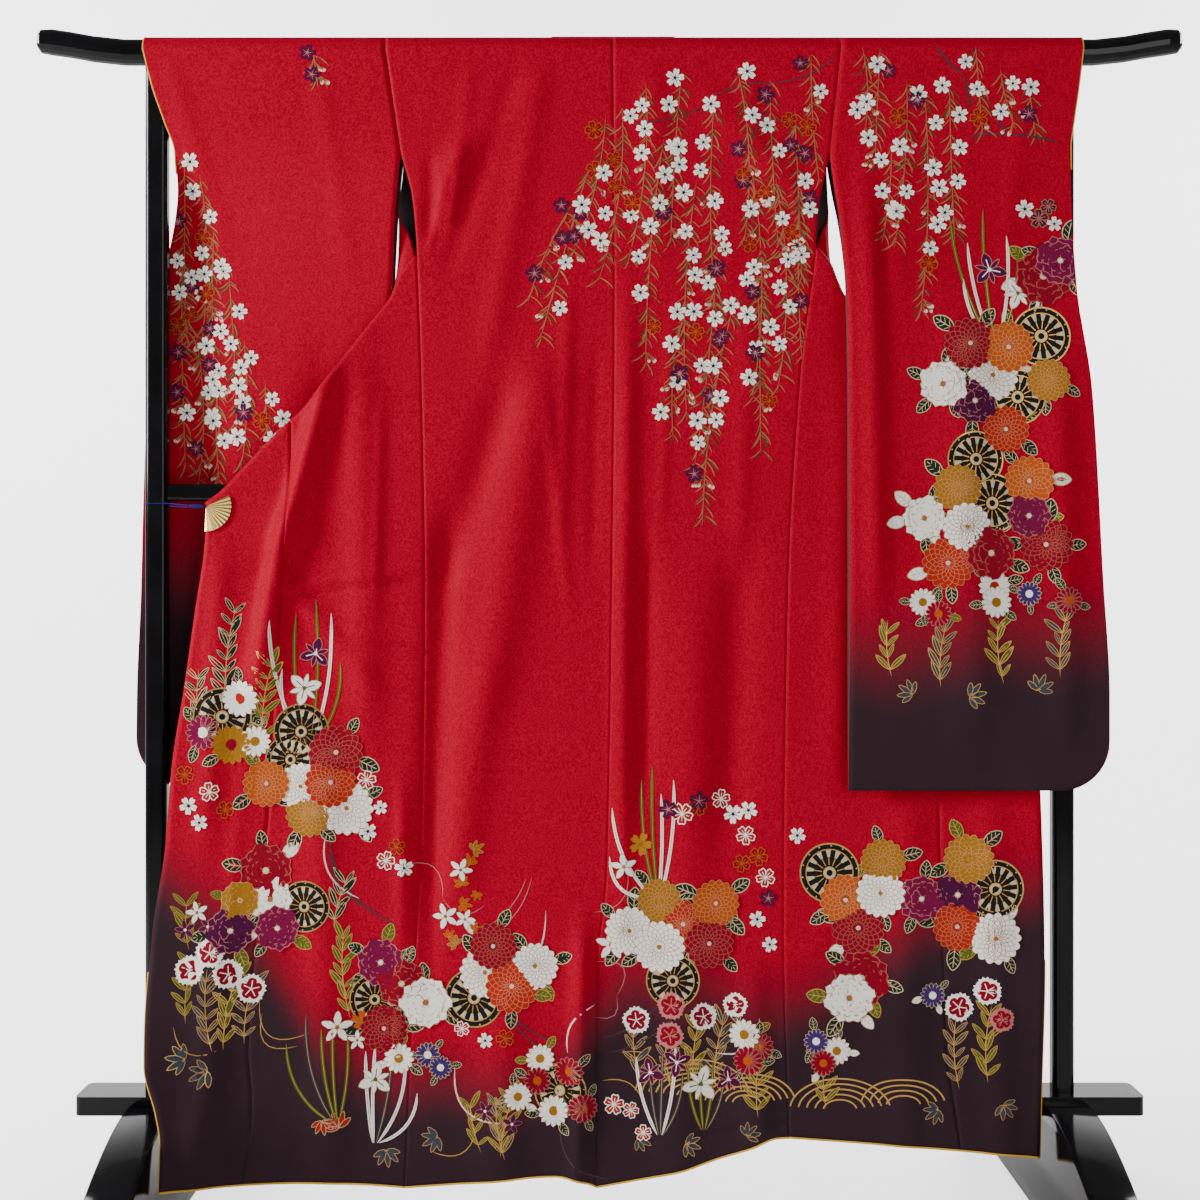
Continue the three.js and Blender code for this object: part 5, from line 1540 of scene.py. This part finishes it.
LEFT_HEM_STEPS = (
    (blades, -432, 690, (
        (-56, 180, 0.08, "white"), (-20, 190, 0.05, "olive"), (8, 210, -0.03, "olive"),
        (30, 190, -0.05, "white"), (-40, 110, 0.12, "white"), (44, 120, -0.1, "olive"))),
    (scatter, "iris", ((-424, 822, 24),), IRIS, 0.5),
    (scatter, "iris", ((-440, 772, 26),), WHITE_IRIS, 0.5),
    (leafy_stems, (
        (-548, 700, 190, 10, PINE), (-586, 690, 110, -4, PINE), (-500, 690, 120, 16, OLIVE))),
    (posies, (
        (-548, 722, 46, 62, "wheel ochre_daisy rosette magenta_daisy white_daisy"),
        (-432, 640, 76, 74, "white_mum scarlet_mum wheel ochre_mum crimson_mum orange_mum "
                            "white_mum wheel"),
        (-500, 462, 66, 66, "white_peony ochre_peony magenta_peony crimson_peony purple_peony "
                            "wheel"),
        (-306, 336, 66, 58, "crimson_peony wheel white_peony magenta_peony crimson_mum"),
        (-164, 364, 62, 56, "white_mum scarlet_mum crimson_mum wheel white_mum"),
        (-272, 242, 46, 22, "violet_daisy white_daisy violet_daisy"),
        (-84, 196, 62, 50, "wheel red_daisy white_daisy red_daisy white_daisy red_daisy "
                           "white_daisy"))),
    (scatter, "outlined", ((-574, 624, 15), (-350, 640, 15), (-322, 524, 15), (-212, 284, 12)),
     WHITE_PINK, 0.6),
    (scatter, "blossom", (
        (-604, 604, 14), (-588, 580, 13), (-348, 566, 14), (-296, 514, 14), (-330, 600, 11),
        (-178, 268, 12), (-366, 582, 11)), WHITE_BLOSSOM, 0.6),
    (scatter, "outlined", ((-610, 648, 15), (-552, 598, 14), (-306, 544, 13), (-150, 272, 14)),
     LINE_BLOSSOM, 0.55),
    (scatter, "pink", (
        (-598, 372, 21), (-570, 396, 21), (-544, 366, 21), (-512, 344, 21), (-546, 424, 16)),
     RED_PINK, 0.5),
    (scatter, "star", (
        (-590, 452, 17), (-236, 444, 20), (-208, 440, 16), (-214, 512, 18), (-362, 268, 15)),
     WHITE, 0.4),
    (scatter, "star", ((-574, 432, 15), (-606, 428, 15), (-178, 168, 15), (-140, 150, 15)),
     PURPLE, 0.4),
    (scatter, "maple", (
        (-200, 520, 17), (-212, 490, 17), (-190, 478, 13), (-214, 462, 18), (-196, 424, 16),
        (-232, 414, 14)), AUTUMN_MAPLE, 0.2),
    (scatter, "maple", ((-196, 540, 18), (-220, 404, 17)), OCHRE, 0.2),
    (leafy_stems, (
        (-562, 262, 112, -10, SLATE), (-548, 262, 112, 20, OLIVE), (-600, 300, 90, 6, OLIVE),
        (-520, 268, 90, 12, SLATE), (-600, 400, 70, -4, OLIVE), (-150, 100, 90, -12, SLATE),
        (-156, 104, 96, 22, OLIVE), (-184, 110, 70, -16, OLIVE), (-372, 300, 120, -10, OLIVE),
        (-396, 430, 70, 20, PINE), (-286, 288, 70, -30, PINE))),
    (blades, -388, 156, (
        (-74, 110, 0.14, "olive"), (-24, 130, 0.04, "olive"), (-8, 140, 0.02, "olive"),
        (12, 120, -0.04, "olive"), (-46, 150, 0.08, "slate"))),
    (scatter, "star", ((-390, 288, 24),), WHITE, 0.5),
    (scatter, "blossom", ((-356, 296, 16),), ORANGE_BLOSSOM, 0.5),
    (blades, -338, 122, (
        (-12, 130, 0.02, "white"), (2, 140, 0.02, "white"), (44, 124, -0.1, "white"),
        (26, 150, -0.04, "slate"), (62, 70, -0.18, "white"))),
    (scatter, "iris", ((-336, 212, 26),), WHITE_IRIS, 0.6),
    (scatter, "sasa", ((-598, 252, 28), (-566, 236, 28), (-320, 112, 26), (-246, 130, 26)),
     SLATE, 0.1),
    (scatter, "sasa", ((-386, 146, 26), (-410, 158, 22)), RED_BAMBOO, 0.12),
    (strokes, (
        ((-210, 352), (-92, 452), -0.3, "blush"), ((-196, 420), (-120, 500), -0.12, "rose_line"),
        ((-226, 410), (-112, 500), -0.2, "rose_line"), ((-88, 402), (-84, 340), -0.4, "blush"),
        ((-408, 560), (-360, 470), -0.2, "blush"), ((-400, 552), (-336, 452), -0.2, "bark"),
        ((-404, 566), (-300, 430), -0.16, "bark"), ((-60, 250), (-22, 318), 0.2, "blush"),
        ((-222, 230), (-144, 152), -0.3, "blush"), ((-256, 110), (-190, 142), -0.3, "gold"),
        ((-500, 330), (-430, 280), -0.4, "gold"), ((-496, 310), (-446, 262), -0.4, "gold"),
        ((-290, 520), (-240, 470), 0.3, "rose_line"), ((-240, 470), (-180, 460), -0.3, "rose_line"),
        ((-616, 296), (-556, 262), -0.3, "gold"), ((-160, 330), (-70, 262), -0.1, "bark"),
        ((-150, 320), (-88, 250), -0.1, "bark"), ((-70, 160), (0, 70), -0.25, "bark"))),
)

RIGHT_HEM_STEPS = (
    (blades, 70, 470, (
        (-66, 130, 0.1, "white"), (-24, 170, 0.04, "olive"), (-8, 190, 0.02, "olive"),
        (4, 150, -0.02, "white"), (22, 170, -0.04, "white"), (-70, 60, 0.25, "white"))),
    (scatter, "star", ((20, 516, 20), (2, 404, 24)), WHITE, 0.5),
    (scatter, "blossom", ((44, 548, 18),), AMBER_BLOSSOM, 0.6),
    (posies, (
        (100, 418, 76, 84, "scarlet_mum white_mum crimson_mum ochre_mum wheel orange_mum "
                           "white_mum"),
        (204, 262, 34, 26, "red_daisy white_daisy red_daisy"),
        (352, 478, 72, 62, "orange_mum white_mum wheel crimson_mum ochre_mum"),
        (508, 462, 84, 70, "purple_peony scarlet_mum wheel magenta_peony white_mum ochre_mum"),
        (366, 346, 56, 26, "crimson_peony white_peony"),
        (312, 254, 44, 22, "white_daisy violet_daisy red_daisy"),
        (452, 330, 20, 14, "violet_daisy"))),
    (scatter, "pink", (
        (38, 296, 20), (134, 302, 20), (180, 318, 18), (500, 316, 21), (540, 340, 20)),
     RED_PINK, 0.5),
    (scatter, "pink", ((88, 318, 20), (86, 276, 20), (560, 300, 18)), ROSE_PINK, 0.5),
    (scatter, "outlined", ((104, 592, 17), (160, 612, 15), (196, 560, 15), (224, 500, 15)),
     WHITE_PINK, 0.4),
    (scatter, "blossom", (
        (178, 590, 15), (200, 596, 14), (212, 440, 13), (230, 404, 12), (270, 560, 13)),
     WHITE_BLOSSOM, 0.45),
    (scatter, "blossom", ((84, 598, 15), (128, 610, 15), (228, 470, 14)), PLUM_BLOSSOM, 0.35),
    (scatter, "outlined", ((126, 602, 15), (214, 530, 15), (190, 520, 14)), LINE_BLOSSOM, 0.3),
    (leafy_stems, (
        (88, 200, 80, -6, SLATE), (120, 206, 90, 8, OLIVE), (150, 210, 90, 16, SLATE),
        (44, 210, 80, -10, SLATE), (212, 160, 90, 4, OLIVE), (500, 200, 100, -4, SLATE),
        (540, 210, 110, 6, OLIVE), (310, 170, 80, 0, OLIVE))),
    (waves, (
        (118, 190, (22, 32, 42, 52, 62, 72, 82)), (196, 178, (20, 30, 40, 50, 60, 70)),
        (330, 168, (24, 36, 48, 60, 72)), (420, 176, (24, 36, 48, 60)))),
    (blades, 72, 134, (
        (-34, 110, 0.06, "white"), (-14, 96, 0.03, "slate"), (4, 120, 0.0, "slate"),
        (22, 130, -0.04, "white"), (32, 90, -0.08, "slate"))),
    (blades, 134, 140, (
        (-22, 90, 0.06, "olive"), (-4, 100, 0.02, "olive"), (14, 96, -0.03, "olive"),
        (30, 84, -0.08, "slate"))),
    (scatter, "iris", ((58, 222, 22), (96, 238, 22), (170, 212, 20)), IRIS, 0.6),
    (scatter, "iris", ((130, 206, 28),), WHITE_IRIS, 0.65),
    (scatter, "sasa", (
        (40, 128, 22), (108, 122, 24), (196, 132, 22), (470, 170, 24), (560, 180, 24)),
     SLATE, 0.1),
    (scatter, "outlined", ((6, 176, 16), (30, 168, 13), (48, 136, 13)), WHITE_PINK, 0.3),
    (strokes, (
        ((-6, 400), (40, 498), -0.3, "blush"), ((-22, 450), (26, 506), -0.25, "rose_line"),
        ((-20, 380), (10, 330), 0.5, "rose_line"), ((10, 330), (-20, 300), 0.4, "rose_line"),
        ((-10, 270), (86, 340), -0.1, "bark"), ((0, 250), (110, 330), -0.12, "bark"),
        ((150, 250), (214, 300), -0.3, "blush"), ((16, 250), (70, 196), 0.35, "gold"),
        ((-10, 210), (50, 170), 0.25, "gold"))),
)

# The plainer painting of the halves behind the rail: twigs of each, then the same posies on both
LEFT_REAR_STEPS = (
    (twigs, (
        (-610, 1640, 300, 0), (-560, 1670, 260, 6), (-500, 1690, 200, -6), (-450, 1660, 240, 4),
        (-600, 1420, 260, 6))),
)
RIGHT_REAR_STEPS = (
    (twigs, (
        (600, 1650, 240, 4), (550, 1670, 300, -4), (500, 1680, 220, 6), (440, 1660, 160, -6))),
)


def rear_posies(side):
    """Steps for one rear half, side being -1 for the left and 1 for the right."""
    return (
        (posies, (
            (side * 540, 1170, 84, 80, "white_mum orange_mum wheel crimson_mum purple_peony "
                                       "ochre_mum white_peony"),
            (side * 490, 1000, 96, 74, "scarlet_mum white_mum magenta_peony wheel ochre_mum "
                                       "crimson_peony white_mum"),
            (side * 520, 880, 80, 20, "white_daisy red_daisy violet_daisy rosette"))),
    )


TOWARDS, AWAY = -1, 1
paintings = {
    name: Painting(cloth_tree(*cloth), depth, facing)
    for name, cloth, depth, facing in (
        ("painted_shoulder", ("back_left", "back_right"), body_depth, TOWARDS),
        ("painted_left_sleeve", ("sleeve_left_back",), sleeve_face_depth(*LEFT_CUT), TOWARDS),
        ("painted_right_sleeve", ("sleeve_right_back",), sleeve_face_depth(*RIGHT_CUT), TOWARDS),
        ("painted_left_hem", ("back_left", "front_left", "okumi_left", "back_right"), body_depth,
         TOWARDS),
        ("painted_right_hem", ("back_left", "back_right", "front_right", "okumi_right"), body_depth,
         TOWARDS),
        ("painted_left_sleeve_rear", ("sleeve_left_front",),
         sleeve_face_depth(*LEFT_CUT, "front"), AWAY),
        ("painted_right_sleeve_rear", ("sleeve_right_front",),
         sleeve_face_depth(*RIGHT_CUT, "front"), AWAY),
    )
}
for name, steps in (
        ("painted_shoulder", SHOULDER_STEPS),
        ("painted_left_sleeve", LEFT_SLEEVE_STEPS),
        ("painted_right_sleeve", RIGHT_SLEEVE_STEPS),
        ("painted_left_hem", LEFT_HEM_STEPS),
        ("painted_right_hem", RIGHT_HEM_STEPS),
        ("painted_left_sleeve_rear", LEFT_REAR_STEPS),
        ("painted_right_sleeve_rear", RIGHT_REAR_STEPS),
        ("painted_left_sleeve_rear", rear_posies(-1)),
        ("painted_right_sleeve_rear", rear_posies(1))):
    for step, *given in steps:
        step(paintings[name], *given)
for name, painting in paintings.items():
    painting.finish(name, SILK_WALL)


def piping(name, places, radius):
    """A rolled edge of gold-yellow cloth along a row of places."""
    places = np.asarray(places)
    along = np.gradient(places, axis=0)
    along /= np.linalg.norm(along, axis=1)[:, None]
    side = np.cross(along, (0.0, 1.0, 0.0))
    side /= np.linalg.norm(side, axis=1)[:, None]
    out = np.cross(side, along)
    bm = bmesh.new()
    last = len(places) - 1
    for vert in bmesh.ops.create_grid(bm, x_segments=8, y_segments=last, size=0.5)["verts"]:
        i = round((vert.co.y + 0.5) * last)
        angle = 2 * math.pi * vert.co.x
        vert.co = (places[i] + radius * (math.cos(angle) * side[i] + math.sin(angle) * out[i])) * MM
    bmesh.ops.remove_doubles(bm, verts=bm.verts[:], dist=1e-6)
    bmesh.ops.holes_fill(bm, edges=[edge for edge in bm.edges if edge.is_boundary], sides=0)
    bmesh.ops.recalc_face_normals(bm, faces=bm.faces[:])
    mesh = mesh_from(bm, name)
    mesh.shade_smooth()
    obj = link(name, mesh, piping_cloth)
    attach(obj, "root")


def edge_places(middle, us, vs, shift):
    """Places along an edge of a panel, moved by a small shift in mm."""
    us, vs = np.broadcast_arrays(np.asarray(us, float), np.asarray(vs, float))
    places = np.stack([np.asarray(a, float) for a in middle(us, vs)], 1)
    return places + np.array(shift, float)


# The rolled edges: radius in mm, and the length that shows its gold as a share of the whole edge
HEM_RADIUS = 1.7
HEM_DROP = (0, 0, -1.2)
FRONT_EDGE_RADIUS = 1.1
FRONT_EDGE_SHARE = 0.3
CUFF_RADIUS = 1.3
CUFF_START, CUFF_LENGTH = 0.7, 0.29

across, upward = np.linspace(0, 1, 80), np.linspace(0, 1, 120)
for name in ("left", "right"):
    back = PANELS[f"back_{name}"][0]
    piping(f"piping_{name}_hem", edge_places(back, across, 0, HEM_DROP), HEM_RADIUS)
for name, front in (("left", LEFT_FRONT), ("right", RIGHT_FRONT)):
    whole = partial(front_point, front)
    edge = edge_places(whole, 1, upward * SHOWN_END * FRONT_EDGE_SHARE,
                       (front["outward"] * 0.5, 0.6, 0))
    piping(f"piping_{name}_front_hem", edge_places(whole, across, 0, HEM_DROP), HEM_RADIUS)
    piping(f"piping_{name}_front_edge", edge, FRONT_EDGE_RADIUS)
for name, outer, outward in (("sleeve_left_back", 0, -1), ("sleeve_right_back", 1, 1)):
    cuff = edge_places(PANELS[name][0], outer, CUFF_START + CUFF_LENGTH * upward,
                       (outward * 0.8, 0.5, 0))
    piping(f"piping_{name}", cuff, CUFF_RADIUS)
